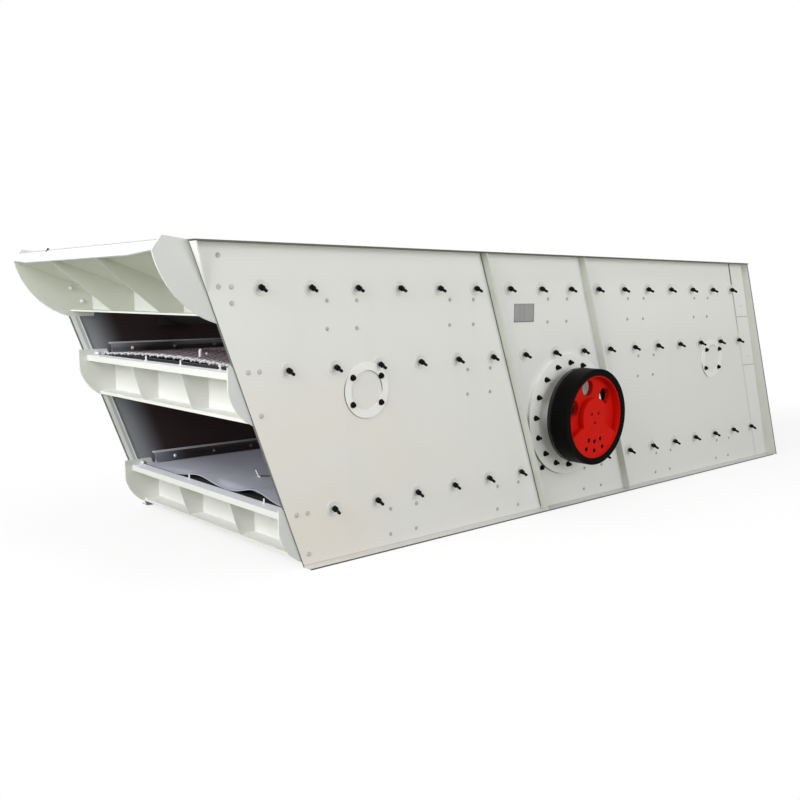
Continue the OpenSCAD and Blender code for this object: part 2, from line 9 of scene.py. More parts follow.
import json
import logging
import math
from dataclasses import dataclass
from enum import Enum
from functools import reduce
from typing import Callable, Iterable, Mapping, Optional, Sequence, Union

import bpy
from mathutils import Matrix, Vector

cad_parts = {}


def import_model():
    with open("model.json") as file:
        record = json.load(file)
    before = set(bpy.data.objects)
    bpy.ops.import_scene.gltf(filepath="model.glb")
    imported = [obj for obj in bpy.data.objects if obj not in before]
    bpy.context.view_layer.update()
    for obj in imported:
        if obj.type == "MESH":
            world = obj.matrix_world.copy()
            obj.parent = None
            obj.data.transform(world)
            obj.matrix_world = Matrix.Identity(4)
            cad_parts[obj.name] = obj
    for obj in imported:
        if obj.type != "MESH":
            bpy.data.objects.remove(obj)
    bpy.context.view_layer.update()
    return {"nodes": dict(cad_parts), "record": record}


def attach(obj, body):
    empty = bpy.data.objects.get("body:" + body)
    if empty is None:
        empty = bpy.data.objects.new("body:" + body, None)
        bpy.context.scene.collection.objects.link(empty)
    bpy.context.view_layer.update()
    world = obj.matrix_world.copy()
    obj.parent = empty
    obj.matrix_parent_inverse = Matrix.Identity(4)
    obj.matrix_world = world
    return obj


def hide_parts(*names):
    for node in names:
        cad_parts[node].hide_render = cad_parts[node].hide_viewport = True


LOG = logging.getLogger("vibrating_screen")
SCREEN_BOX = "screen_box"
MM = 0.001  # One millimetre
FACING = 0.9  # Least part of a face's normal along the way that it faces

Colour = tuple[float, float, float]
Point = tuple[float, float, float]
Pair = tuple[float, float]
Piece = bpy.types.Object


class Side(Enum):
    """The two long sides of the machine, by the sign of Y."""

    NEAR = -1
    FAR = 1

    @property
    def tag(self) -> str:
        """The side's name as it stands in piece names."""
        return self.name.lower()


class Deck(Enum):
    """The three decks, by the height of their screening surface at the walls."""

    TOP = 1.690
    MIDDLE = 1.213
    BOTTOM = 0.347

    @property
    def tag(self) -> str:
        """The deck's name as it stands in piece names."""
        return self.name.lower()


@dataclass(frozen=True)
class Machine:
    """Sizes of the CAD model that the dressing follows."""

    x_mid: float = 3.177378
    wall_l: float = 5.855
    wall_h: float = 1.94
    half_out: float = 1.07
    wall_t: float = 0.01
    slope: float = math.tan(math.radians(20.3))
    cloth_t: float = 0.010
    crown_h: float = 0.028
    cloth_margin: float = 0.110
    cloth_start: float = 0.110
    cloth_short: float = 0.120
    cloth_gap: float = 0.016
    hem_gap: float = 0.018
    feed_back: float = 0.340
    cheek_t: float = 0.012
    rail_h: float = 0.080
    rail_reach: float = 0.060
    rail_start: float = 0.186
    flange_w: float = 0.070
    flange_t: float = 0.010
    rib_e: float = 2.2329
    rib_half: float = 0.006
    strip_e: float = 5.612
    spring_z: float = 1.050
    spring_e: Pair = (0.880, 5.052)
    pad_t: float = 0.006
    pad_r: float = 0.178
    pad_ring_r: float = 0.125
    beam_drop: float = 0.163
    beam_first: float = 0.850
    beam_pitch: float = 1.032
    beam_count: int = 5
    bolt_x: float = 0.228
    bolt_z: float = 0.170
    exciter_x: float = 3.2295
    exciter_z: float = 0.722
    bearing_t: float = 0.020
    bearing_r: float = 0.470

    @property
    def half_in(self) -> float:
        """Half the clear width between the walls."""
        return self.half_out - self.wall_t

    @property
    def cheek_in(self) -> float:
        """Half the clear width between the cheeks of the feed box and lips."""
        return self.half_in - self.cheek_t

    @property
    def axis_x(self) -> float:
        """X of the exciter's axis."""
        return self.exciter_x - self.x_mid

    def lean(self, z: float) -> float:
        """Level distance of the feed edge from the walls' top corner, at height z."""
        return (self.wall_h - z) * self.slope

    def x_at(self, e: float, z: float) -> float:
        """X of a point at distance e from the feed edge, at height z."""
        return e + self.lean(z) - self.x_mid

    def edge_distance(self, x: Sock, z: Sock) -> Sock:
        """Distance e of a shaded point from the feed edge."""
        return x + (z - self.wall_h) * self.slope + self.x_mid

    def cloth_foot(self, deck: Deck) -> float:
        """Height of the underside of a deck's cloth, along its edges."""
        return deck.value - self.cloth_t

    def cloth_ends(self, deck: Deck) -> Pair:
        """First and last X of a cloth that starts at the feed end's ledge."""
        ends = (self.cloth_start, self.wall_l - self.cloth_short)
        return tuple(self.x_at(e, self.cloth_foot(deck)) for e in ends)

    def crown(self, y: float) -> float:
        """Rise of the cloth over its edges, at distance y from the middle."""
        half = self.half_in - self.cloth_margin
        return 0.0 if abs(y) >= half else self.crown_h * (1 - (y / half) ** 2)


class Sock:
    """An output socket that grows Math nodes where Python's operators meet it."""

    def __init__(self, shader: Shader, socket: bpy.types.NodeSocket) -> None:
        """Keeps the socket and the shader that it belongs to."""
        self.shader = shader
        self.socket = socket

    def _math(self, operation: str, *values: Value) -> Sock:
        """Adds one Math node on some values, in order."""
        return self.shader.add("ShaderNodeMath", {"operation": operation}, dict(enumerate(values)))

    def __add__(self, other: Value) -> Sock:
        """Sum."""
        return self._math("ADD", self, other)

    __radd__ = __add__

    def __sub__(self, other: Value) -> Sock:
        """Difference."""
        return self._math("SUBTRACT", self, other)

    def __rsub__(self, other: Value) -> Sock:
        """Difference from a value."""
        return self._math("SUBTRACT", other, self)

    def __mul__(self, other: Value) -> Sock:
        """Product."""
        return self._math("MULTIPLY", self, other)

    __rmul__ = __mul__

    def __truediv__(self, other: Value) -> Sock:
        """Quotient."""
        return self._math("DIVIDE", self, other)

    def __abs__(self) -> Sock:
        """Absolute value."""
        return self._math("ABSOLUTE", self)

    def sine(self) -> Sock:
        """Sine of an angle in radians."""
        return self._math("SINE", self)

    def most(self, other: Value) -> Sock:
        """The larger of two values."""
        return self._math("MAXIMUM", self, other)

    @staticmethod
    def any_of(masks: Iterable[Sock]) -> Sock:
        """The largest of several values."""
        return reduce(Sock.most, masks)

    def ramp(self, low: float, high: float) -> Sock:
        """Smooth step from 0 at a low value to 1 at a high one."""
        how = {"interpolation_type": "SMOOTHSTEP", "clamp": True}
        return self.shader.add("ShaderNodeMapRange", how, {0: self, 1: low, 2: high})

    def fade(self, low: float, high: float) -> Sock:
        """Smooth step from 1 at a low value to 0 at a high one."""
        return 1 - self.ramp(low, high)

    def between(self, low: float, high: float, rise: float, fall: float) -> Sock:
        """1 between two values, with a soft rise after the first and a soft fall before the second."""
        return self.ramp(low, low + rise) * self.fade(high - fall, high)

    def line(self, at: float, half: float) -> Sock:
        """A thin line: 1 at a value, 0 from a distance half on."""
        return abs(self - at).fade(half * 0.5, half)


Value = Union[Sock, float, Sequence[float]]


class Shader:
    """A material or world node tree that is written as expressions."""

    def __init__(self, tree: bpy.types.NodeTree) -> None:
        """Clears the tree for new nodes."""
        self.tree = tree
        tree.nodes.clear()

    @classmethod
    def material(cls, name: str) -> tuple[bpy.types.Material, Shader]:
        """Makes an empty material.

        Args:
            name: The material's name.

        Returns:
            The material and its shader.
        """
        made = bpy.data.materials.new(name)
        made.use_nodes = True
        return made, cls(made.node_tree)

    def add(
        self,
        kind: str,
        settings: Optional[Mapping[str, object]] = None,
        inputs: Optional[Mapping[Union[str, int], Value]] = None,
        out: Union[str, int] = 0,
    ) -> Sock:
        """Adds a node.

        Args:
            kind: The node's type.
            settings: Its properties, set before its sockets.
            inputs: Values or links of its sockets, by name or place.
            out: The output that is wanted, by name or place.

        Returns:
            That output.
        """
        node = self.tree.nodes.new(kind)
        for key, value in (settings or {}).items():
            setattr(node, key, value)
        for key, value in (inputs or {}).items():
            if isinstance(value, Sock):
                self.tree.links.new(value.socket, node.inputs[key])
            else:
                node.inputs[key].default_value = value
        return Sock(self, node.outputs[out] if node.outputs else node.inputs[0])

    def place(self) -> tuple[Sock, Sock, Sock]:
        """Splits the object coordinates.

        Returns:
            X, Y and Z.
        """
        where = self.add("ShaderNodeTexCoord", out="Object")
        split = self.add("ShaderNodeSeparateXYZ", inputs={0: where})
        outputs = split.socket.node.outputs
        return tuple(Sock(self, outputs[i]) for i in range(3))

    def noise(self, scale: float, stretch: Point = (1, 1, 1), detail: float = 3.0) -> Sock:
        """Noise on the object coordinates.

        Args:
            scale: Features per metre.
            stretch: Factor on each axis before the noise is read.
            detail: Octaves.

        Returns:
            A value around one half.
        """
        where = self.add("ShaderNodeTexCoord", out="Object")
        turned = self.add("ShaderNodeMapping", inputs={"Vector": where, "Scale": stretch})
        return self.add("ShaderNodeTexNoise", None, {"Vector": turned, "Scale": scale, "Detail": detail})

    def mix(self, share: Value, first: Value, second: Value) -> Sock:
        """Mixes two colours; the share says how much of the second shows."""
        pair = [c if isinstance(c, Sock) else (*c, 1.0) for c in (first, second)]
        return self.add("ShaderNodeMix", {"data_type": "RGBA"}, {0: share, 6: pair[0], 7: pair[1]}, out=2)

    def bump(self, height: Sock, strength: float, distance: float) -> Sock:
        """Turns a height from 0 to 1 into a normal; the distance is the height of 1."""
        return self.add("ShaderNodeBump", None, {"Strength": strength, "Distance": distance, "Height": height})

    def surface(self, **inputs: Value) -> None:
        """Ends the tree in a Principled surface.

        Args:
            inputs: Its sockets by name, with underscores for spaces.
        """
        named = {key.replace("_", " "): value for key, value in inputs.items()}
        shaded = self.add("ShaderNodeBsdfPrincipled", None, named)
        self.add("ShaderNodeOutputMaterial", None, {"Surface": shaded})

    def drift(
        self,
        paint: Colour,
        shade: Colour,
        scale: float = 1.5,
        detail: float = 3.0,
        span: Pair = (0.35, 0.75),
        most: float = 0.6,
    ) -> tuple[Sock, Sock]:
        """Lets a paint drift towards a shade in soft clouds.

        Args:
            paint: The paint's colour.
            shade: The shade's colour.
            scale: Clouds per metre.
            detail: Octaves of the clouds.
            span: Values of the clouds between which the shade comes in.
            most: Share of the shade where it is strongest.

        Returns:
            The colour and the clouds.
        """
        cloud = self.noise(scale, detail=detail)
        return self.mix(cloud.ramp(*span) * most, paint, shade), cloud

    def satin(self, colour: Sock, rough: Value, relief: float = 0.08) -> None:
        """Ends the tree in satin paint with a fine grain.

        Args:
            colour: Its colour.
            rough: Its roughness, to which the grain adds.
            relief: How strongly the grain stands out.
        """
        grain = self.noise(160.0, detail=2.0)
        self.surface(
            Base_Color=colour,
            Roughness=grain * 0.1 + rough,
            Normal=self.bump(grain, relief, 0.6 * MM),
        )

    def stains(self, scale: float) -> Sock:
        """Stained patches on bare metal, with soft edges."""
        return self.noise(scale, detail=4.0).ramp(0.45, 0.75)

    def steel(self, colour: Sock, stains: Sock, fine: float, rough: float, **inputs: float) -> None:
        """Ends the tree in steel that is duller on its stains.

        Args:
            colour: Its colour.
            stains: The stained patches.
            fine: Grains per metre.
            rough: Roughness of the bare metal.
            inputs: More sockets of the surface.
        """
        grain = self.noise(fine, detail=2.0)
        self.surface(
            Base_Color=colour,
            Roughness=stains * 0.18 + grain * 0.06 + rough,
            Normal=self.bump(grain, 0.12, 0.5 * MM),
            **inputs,
        )


@dataclass(frozen=True)
class Finish:
    """A finish by its name; each kind lays its own coats."""

    name: str

    def lay(self, s: Shader, machine: Machine) -> None:
        """Lays the coats of one kind of finish."""
        raise NotImplementedError(self.name)

    def make(self, machine: Machine) -> bpy.types.Material:
        """Makes the material.

        Args:
            machine: Sizes that some finishes follow.

        Returns:
            The material.
        """
        made, shader = Shader.material(self.name)
        self.lay(shader, machine)
        return made


@dataclass(frozen=True)
class WallPaint(Finish):
    """Light grey satin paint on the walls' outside, with painted light high up, dark cut edges that are partly
    painted shade and shadow, and painted shade on the inner faces between the decks.
    """

    name: str = "wall_paint"
    paint: Colour = (0.665, 0.662, 0.650)
    warm: Colour = (0.675, 0.635, 0.585)
    cool: Colour = (0.615, 0.625, 0.615)
    # Lighter paint that stands in for light: painted light under the top flange and high up towards the
    # discharge end.
    clean: Colour = (0.78, 0.776, 0.755)
    # Colour of the dark lines, which are partly painted shade and shadow.
    edge: Colour = (0.060, 0.060, 0.045)
    # Painted shade on the inner faces: near-black deep inside, and a paler grey near the open feed end as
    # painted light.
    interior_shade: Colour = (0.020, 0.008, 0.009)
    dust: Colour = (0.33, 0.345, 0.375)
    warm_e: Pair = (0.2, 2.2)
    warm_z: Pair = (0.6, 1.6)
    clean_top: Pair = (1.70, 1.93)
    clean_e: Pair = (1.5, 4.5)
    clean_z: Pair = (1.0, 1.8)
    dust_e: Pair = (0.04, 0.36)
    seam_low: Pair = (1.22, 1.40)
    seam_high: Pair = (1.60, 1.75)
    joint_z: Pair = (1.43, 0.955)
    joint_share: float = 0.45
    mark_z: Pair = (1.531, 1.040)
    mark_e: Pair = (5.708, 5.766)
    mark_share: float = 0.2
    root_share: float = 0.22
    strip_end: float = 5.840

    def dark_lines(self, machine: Machine, a: Sock, z: Sock, e: Sock) -> Sock:
        """Finds the dark lines: painted shade under the top flange, painted shadow at the wall plates' ends,
        painted shade at the bottom flange's root, the flanges' dark outer edges, and the joints of the end
        strip.

        Args:
            machine: Sizes of the walls.
            a: Distance from the middle plane.
            z: Height.
            e: Distance from the feed edge.

        Returns:
            1 on the edges.
        """
        out, rim = machine.half_out, machine.half_out + machine.flange_w
        low, high = machine.flange_t, machine.wall_h - machine.flange_t
        # Painted shade on the top flange's underside and outer edge.
        top = a.ramp(out + MM, out + 3 * MM) * z.ramp(high - MM, high - 0.5 * MM)
        top = top * z.fade(machine.wall_h - 1.5 * MM, machine.wall_h - 0.5 * MM)
        foot = a.ramp(rim - 1.5 * MM, rim - 0.5 * MM) * z.fade(low - 1.5 * MM, low - 0.5 * MM)
        # Painted shadow on the wall plate's end face, dark like the gap beside the cheeks.
        end = e.fade(0.8 * MM, 2 * MM) * a.fade(out, out + MM)
        seam = z.ramp(*self.seam_low) * 0.35 + z.ramp(*self.seam_high) * 0.45 + 0.2
        seam = e.line(machine.strip_e, 14 * MM) * seam
        joints = Sock.any_of(z.line(at, 6 * MM) for at in self.joint_z)
        joints = joints * e.between(machine.strip_e, self.strip_end, 4 * MM, 10 * MM)
        marks = Sock.any_of(z.line(at, 8 * MM) for at in self.mark_z)
        marks = marks * e.between(*self.mark_e, 10 * MM, 10 * MM)
        # Painted shade in the corner where the bottom flange meets the wall.
        root = z.line(low + 4 * MM, 6 * MM) * a.ramp(out - MM, out - 0.5 * MM)
        faint = (joints * self.joint_share, marks * self.mark_share, root * self.root_share)
        return Sock.any_of((top, foot, end, seam, *faint))

    def lay(self, s: Shader, machine: Machine) -> None:
        """Lays the paint, its painted light, its dark lines and the painted shade inside.

        Args:
            s: The material's tree.
            machine: Sizes that place the painted shade inside and the dark lines.
        """
        x, y, z = s.place()
        a, e = abs(y), machine.edge_distance(x, z)
        cloud = s.noise(0.9, (1, 1, 1.4), 2.0)
        streak = s.noise(5.0, (1, 1, 0.12), 3.0)
        warmth = e.fade(*self.warm_e) * z.fade(*self.warm_z) * cloud.ramp(0.25, 0.65)
        colour = s.mix(warmth, self.paint, self.warm)
        colour = s.mix(streak.ramp(0.45, 0.8) * 0.35, colour, self.cool)
        # Painted light: the wall is lighter under the top flange and high up towards the discharge end.
        painted_light_share = z.ramp(*self.clean_top).most(z.ramp(*self.clean_z) * e.ramp(*self.clean_e) * 0.5)
        colour = s.mix(painted_light_share, colour, self.clean)
        colour = s.mix(self.dark_lines(machine, a, z, e), colour, self.edge)
        # Painted shade on the inner faces, near-black deep inside and paler near the open feed end.
        inside = a.fade(machine.half_in + 2 * MM, machine.half_in + 4 * MM)
        colour = s.mix(inside, colour, s.mix(e.ramp(*self.dust_e), self.dust, self.interior_shade))
        grain = s.noise(180.0, detail=2.0)
        s.surface(
            Base_Color=colour,
            Roughness=grain * 0.08 + (streak * 0.06 + 0.40) + inside * 0.3,
            Normal=s.bump(grain, 0.06, 0.6 * MM),
        )


@dataclass(frozen=True)
class BandPaint(Finish):
    """Wall paint on the flange at the discharge end, with its dark outer edge."""

    name: str = "band_paint"
    paint: Colour = (0.66, 0.665, 0.625)
    shade: Colour = (0.60, 0.605, 0.565)
    edge: Colour = (0.085, 0.085, 0.07)
    foot: float = 0.104
    top: float = 0.062

    def lay(self, s: Shader, machine: Machine) -> None:
        """Lays the paint and the dark edge, which follows the flange's taper.

        Args:
            s: The material's tree.
            machine: Sizes of the walls.
        """
        _, y, z = s.place()
        high = machine.wall_h - machine.flange_t
        taper = (self.foot - self.top) / (high - machine.flange_t)
        reach = (high - z) * taper + (machine.half_out + self.top)
        rim = (abs(y) - reach).ramp(-2.5 * MM, -1.5 * MM)
        colour, _ = s.drift(self.paint, self.shade)
        s.satin(s.mix(rim, colour, self.edge), 0.42)


@dataclass(frozen=True)
class LipPaint(Finish):
    """Pale paint on the end lips, with painted shade on the cheeks' outside and painted light, a bluish white,
    on the ledges' tops.
    """

    name: str = "lip_paint"
    paint: Colour = (0.735, 0.74, 0.71)
    shade: Colour = (0.665, 0.675, 0.64)
    # Painted light on the ledges' top faces, and painted shade on the cheeks' outside.
    ledge: Colour = (0.88, 0.90, 0.95)
    shaded_outer: Colour = (0.55, 0.555, 0.55)

    def lay(self, s: Shader, machine: Machine) -> None:
        """Lays the paint, the painted shade on the cheeks' outside and the painted light on the ledges.

        Args:
            s: The material's tree.
            machine: Sizes that place the ledges.
        """
        _, y, z = s.place()
        a = abs(y)
        colour, cloud = s.drift(self.paint, self.shade)
        # Painted shade: the cheeks' outside is darker.
        colour = s.mix(a.ramp(machine.half_in - MM, machine.half_in - 0.5 * MM), colour, self.shaded_outer)
        # Painted light: the ledges' top faces are a bluish white.
        tops = Sock.any_of(z.line(machine.cloth_foot(d), 2 * MM) for d in (Deck.MIDDLE, Deck.BOTTOM))
        tops = tops * a.fade(machine.cheek_in - MM, machine.cheek_in - 0.5 * MM)
        s.satin(s.mix(tops, colour, self.ledge), cloud * 0.08 + 0.36)


@dataclass(frozen=True)
class FeedBoxPaint(Finish):
    """Pale paint on the feed box, with painted shade, a dull green-grey, on the faces inside it, and painted
    shade on the cheeks' outside.
    """

    name: str = "feed_box_paint"
    paint: Colour = (0.765, 0.77, 0.745)
    # Painted shade inside the box, its paler side as painted light, and painted shade on the cheeks' outside.
    underside_shade: Colour = (0.60, 0.615, 0.545)
    underside_light: Colour = (0.70, 0.715, 0.655)
    shaded_outer: Colour = (0.535, 0.54, 0.535)
    shelf_z: float = 1.536
    underside_light_y: Pair = (-0.9, 1.0)
    underside_light_z: Pair = (1.55, 1.85)

    def lay(self, s: Shader, machine: Machine) -> None:
        """Lays the paint outside and the painted shade inside, which painted light makes paler towards the
        foot and the far side.

        Args:
            s: The material's tree.
            machine: Sizes that place the cheeks and the back plate.
        """
        x, y, z = s.place()
        a, back = abs(y), machine.feed_back - machine.x_mid
        inner = a.fade(machine.cheek_in + 0.5 * MM, machine.cheek_in + 1.5 * MM)
        inner = inner * x.fade(back - 4 * MM, back - 2 * MM) * z.ramp(self.shelf_z - MM, self.shelf_z)
        outside = a.ramp(machine.half_in - MM, machine.half_in - 0.5 * MM)
        cloud = s.noise(2.0, detail=3.0)
        # Painted light: the inside is paler towards the foot and the far side.
        underside_light = (y.ramp(*self.underside_light_y) * 0.6 + z.fade(*self.underside_light_z) * 0.5) * (cloud * 0.4 + 0.8)
        shaded_inside = s.mix(underside_light.ramp(0.0, 1.0), self.underside_shade, self.underside_light)
        # Painted shade on the cheeks' outside.
        pale = s.mix(outside, self.paint, self.shaded_outer)
        s.satin(s.mix(inner, pale, shaded_inside), cloud * 0.08 + 0.36)


@dataclass(frozen=True)
class Arc:
    """Part of a round plate's edge that gets painted shade; angles in degrees, from +X towards +Z."""

    x: float
    z: float
    radius: float
    middle: float
    spread: float


@dataclass(frozen=True)
class DiscPaint(Finish):
    """Wall paint on round plates, with painted shade along parts of their edges."""

    arcs: tuple[Arc, ...]
    edge: Colour
    # Lighter than the wall; on the exciter's flange this is painted light that offsets the flywheel's shadow.
    paint: Colour = (0.73, 0.73, 0.715)

    def lay(self, s: Shader, machine: Machine) -> None:
        """Lays the paint and the arcs of painted shade.

        Args:
            s: The material's tree.
            machine: Unused, because the arcs are placed already.
        """
        x, _, z = s.place()
        # Arcs of painted shade along the plates' edges.
        worn = []
        for arc in self.arcs:
            across, up = x - arc.x, z - arc.z
            middle, spread = math.radians(arc.middle), math.radians(arc.spread)
            towards = (across * math.cos(middle) + up * math.sin(middle)) / arc.radius
            ring = (across * across + up * up).line(arc.radius**2, arc.radius * 6 * MM)
            worn.append(ring * towards.ramp(math.cos(spread), math.cos(spread * 0.6)))
        cloud = s.noise(1.2, detail=2.0)
        s.satin(s.mix(Sock.any_of(worn), self.paint, self.edge), cloud * 0.05 + 0.40, 0.06)


@dataclass(frozen=True)
class EndBarPaint(Finish):
    """Pale paint on the feed end's stiffening bars, with a dark edge and a duller band along the middle."""

    name: str = "end_bar_paint"
    paint: Colour = (0.90, 0.91, 0.90)
    dull: Colour = (0.58, 0.60, 0.60)
    edge: Colour = (0.10, 0.10, 0.095)
    band_e: Pair = (0.034, 0.060)

    def lay(self, s: Shader, machine: Machine) -> None:
        """Lays the paint, the band and the edge.

        Args:
            s: The material's tree.
            machine: Sizes that place the band along the slanted end.
        """
        x, _, z = s.place()
        e = machine.edge_distance(x, z)
        colour = s.mix(e.between(*self.band_e, 4 * MM, 4 * MM), self.paint, self.dull)
        s.satin(s.mix(e.fade(3 * MM, 6 * MM), colour, self.edge), 0.42)


@dataclass(frozen=True)
class StripPaint(Finish):
    """White paint on the feed box's front strip, worn grey along its upper edge."""

    name: str = "strip_paint"
    paint: Colour = (0.64, 0.64, 0.69)
    worn: Colour = (0.30, 0.28, 0.30)
    edge_z: float = 1.927

    def lay(self, s: Shader, machine: Machine) -> None:
        """Lays the paint and its worn edge.

        Args:
            s: The material's tree.
            machine: Unused, because the edge's height is the strip's own.
        """
        _, _, z = s.place()
        cloud = s.noise(3.0, detail=3.0)
        worn = z.ramp(self.edge_z, self.edge_z + 3 * MM) * (cloud * 0.5 + 0.5)
        s.satin(s.mix(worn, self.paint, self.worn), 0.42)


@dataclass(frozen=True)
class RailPaint(Finish):
    """Dark paint on the tension rails, with painted light at the feed end and painted highlights along the top
    and the front.
    """

    name: str = "rail_paint"
    paint: Colour = (0.020, 0.012, 0.013)
    # Painted light at the feed end, and painted highlights along the top and front edges.
    dust: Colour = (0.19, 0.20, 0.235)
    worn: Colour = (0.52, 0.53, 0.56)
    end_light_l: float = 0.32
    worn_e: Pair = (0.3, 1.6)

    def lay(self, s: Shader, machine: Machine) -> None:
        """Lays the paint, the painted light and the painted highlights, which fade along the machine.

        Args:
            s: The material's tree.
            machine: Sizes of the decks and rails.
        """
        x, _, z = s.place()
        e, start = machine.edge_distance(x, z), machine.rail_start
        top = Sock.any_of(z.line(deck.value + machine.rail_h, 12 * MM) for deck in Deck)
        front = e.fade(start + 4 * MM, start + 8 * MM)
        # Painted highlights along the top and the front end, fading along the machine.
        bright = front.most(top * (1 - e.ramp(*self.worn_e) * 0.75))
        cloud = s.noise(6.0, (0.4, 1, 1), 3.0)
        # Painted light: paler near the feed end.
        colour = s.mix(e.fade(start, start + self.end_light_l), self.paint, self.dust)
        colour = s.mix(cloud.ramp(0.4, 0.8) * 0.3, colour, self.paint)
        s.surface(
            Base_Color=s.mix(bright, colour, self.worn),
            Roughness=cloud * 0.2 + 0.35,
            Normal=s.bump(cloud, 0.1, MM),
        )


@dataclass(frozen=True)
class SatinPaint(Finish):
    """Plain satin paint that drifts a little towards a second colour."""

    paint: Colour
    shade: Colour
    rough: float = 0.45
    scale: float = 1.5

    def lay(self, s: Shader, machine: Machine) -> None:
        """Lays the paint, which is alike all over the machine."""
        colour, cloud = s.drift(self.paint, self.shade, self.scale)
        s.satin(colour, cloud * 0.08 + (self.rough - 0.09))


@dataclass(frozen=True)
class WheelPaint(Finish):
    """What the flywheel's two paints share: clouds of dirt and a fine grain."""

    paint: Colour
    dirt: Colour

    def coat(self, s: Shader) -> tuple[Sock, Sock, Sock]:
        """Makes the colour, the clouds of dirt and the normal."""
        colour, cloud = s.drift(self.paint, self.dirt, 14.0, 4.0, (0.5, 0.85), 0.5)
        return colour, cloud, s.bump(s.noise(220.0, detail=2.0), 0.07, 0.5 * MM)


@dataclass(frozen=True)
class WebPaint(WheelPaint):
    """Gloss red paint on the flywheel's front, with painted shade in the holes and a back darkened so that it
    throws less red light onto the flange.
    """

    name: str = "wheel_red"
    paint: Colour = (0.535, 0.0065, 0.0025)
    dirt: Colour = (0.40, 0.005, 0.002)
    grease: Colour = (0.035, 0.012, 0.010)
    back_y: float = 1.253
    face_y: float = 1.339
    hub_holes_r: float = 0.075
    weight_drop: float = 0.150
    weight_r: float = 0.285

    def lay(self, s: Shader, machine: Machine) -> None:
        """Lays the paint, then darkens the back and paints shade in the holes of hub and weight.

        Args:
            s: The material's tree.
            machine: Sizes that centre the holes on the exciter's axis.
        """
        x, y, z = s.place()
        across, up = x - machine.axis_x, z - machine.exciter_z
        a, square = abs(y), across * across + up * up
        # The back is darkened so that it throws less red light onto the flange; the holes of hub and weight
        # get painted shade.
        back = a.fade(self.back_y - MM, self.back_y)
        hub = square.fade(self.hub_holes_r**2 * 0.98, self.hub_holes_r**2)
        weight = up.fade(-self.weight_drop - MM, -self.weight_drop)
        weight = weight * square.fade(self.weight_r**2 * 0.99, self.weight_r**2)
        holes = hub.most(weight) * a.fade(self.face_y - 3 * MM, self.face_y - 2 * MM)
        colour, cloud, normal = self.coat(s)
        s.surface(
            Base_Color=s.mix(back.most(holes), colour, self.grease),
            Roughness=cloud * 0.12 + 0.36,
            Specular_IOR_Level=0.08,
            Normal=normal,
        )


@dataclass(frozen=True)
class RimPaint(WheelPaint):
    """Black paint on the flywheel's rim, rubbed to a gloss along the back edge."""

    name: str = "rim_black"
    paint: Colour = (0.0015, 0.0015, 0.0015)
    dirt: Colour = (0.004, 0.004, 0.004)
    back_y: float = 1.172
    rubbed: float = 0.040

    def lay(self, s: Shader, machine: Machine) -> None:
        """Lays the paint and its gloss.

        Args:
            s: The material's tree.
            machine: Unused, because the rim's back is its own size.
        """
        _, y, _ = s.place()
        gloss = abs(y).fade(self.back_y + self.rubbed * 0.5, self.back_y + self.rubbed)
        colour, cloud, normal = self.coat(s)
        s.surface(
            Base_Color=colour,
            Roughness=cloud * 0.12 + 0.42,
            Specular_IOR_Level=0.04,
            Coat_Weight=gloss * 0.8,
            Coat_Roughness=0.12,
            Normal=normal,
        )


@dataclass(frozen=True)
class Steel(Finish):
    """Bare or blackened steel with a fine grain and stained patches."""

    metal: Colour
    stain: Colour
    rough: float
    metallic: float
    stained: float = 0.5
    scale: float = 30.0
    gloss: float = 0.5

    def lay(self, s: Shader, machine: Machine) -> None:
        """Stains the metal, alike all over the machine.

        Args:
            s: The material's tree.
            machine: Unused.
        """
        stains = s.stains(self.scale)
        colour = s.mix(stains * self.stained, self.metal, self.stain)
        more = {"Metallic": self.metallic, "Specular_IOR_Level": self.gloss}
        s.steel(colour, stains, self.scale * 12, self.rough, **more)


@dataclass(frozen=True)
class WovenWire(Finish):
    """Heavy woven wire, with painted light that makes it bright at the feed end and painted shade that makes
    it dull behind it.
    """

    name: str = "wire_steel"
    bright: Colour = (0.80, 0.80, 0.82)
    dull: Colour = (0.165, 0.13, 0.14)
    rust: Colour = (0.12, 0.08, 0.075)
    bright_e: Pair = (0.13, 0.24)

    def lay(self, s: Shader, machine: Machine) -> None:
        """Lays painted shade and rust on the wire behind its bright end.

        Args:
            s: The material's tree.
            machine: Sizes that place the feed end.
        """
        x, _, z = s.place()
        stains = s.stains(12.0)
        dull = s.mix(stains * 0.5, self.dull, self.rust)
        # Painted light and shade: bright near the feed end, dull further in.
        colour = s.mix(machine.edge_distance(x, z).ramp(*self.bright_e), self.bright, dull)
        s.steel(colour, stains, 150.0, 0.30, Metallic=0.5)


@dataclass(frozen=True)
class FineCloth(Finish):
    """Finely woven wire cloth, as a sheet whose weave shows only close by."""

    name: str = "fine_cloth"
    wire: Colour = (0.70, 0.715, 0.82)
    gap: Colour = (0.40, 0.415, 0.49)
    pitch: float = 0.012
    light_y: Pair = (-0.95, 0.4)

    def lay(self, s: Shader, machine: Machine) -> None:
        """Weaves the cloth, with painted shade that makes it darker towards the near wall.

        Args:
            s: The material's tree.
            machine: Unused, because the weave runs all over.
        """
        x, y, _ = s.place()
        turn = 2 * math.pi / self.pitch
        weave = (x * turn).sine() * (y * turn).sine() * 0.5 + 0.5
        cloud = s.noise(2.2, detail=3.0)
        # Painted shade: the cloth is darker towards the near wall.
        open_share = weave.ramp(0.1, 0.9) * (y.ramp(*self.light_y) * 0.7 + 0.3)
        woven = s.mix(open_share, self.gap, self.wire)
        s.surface(
            Base_Color=s.mix(cloud.ramp(0.4, 0.8) * 0.4, woven, self.gap),
            Roughness=cloud * 0.15 + 0.38,
            Metallic=0.1,
            Normal=s.bump(weave, 0.35, 1.5 * MM),
        )


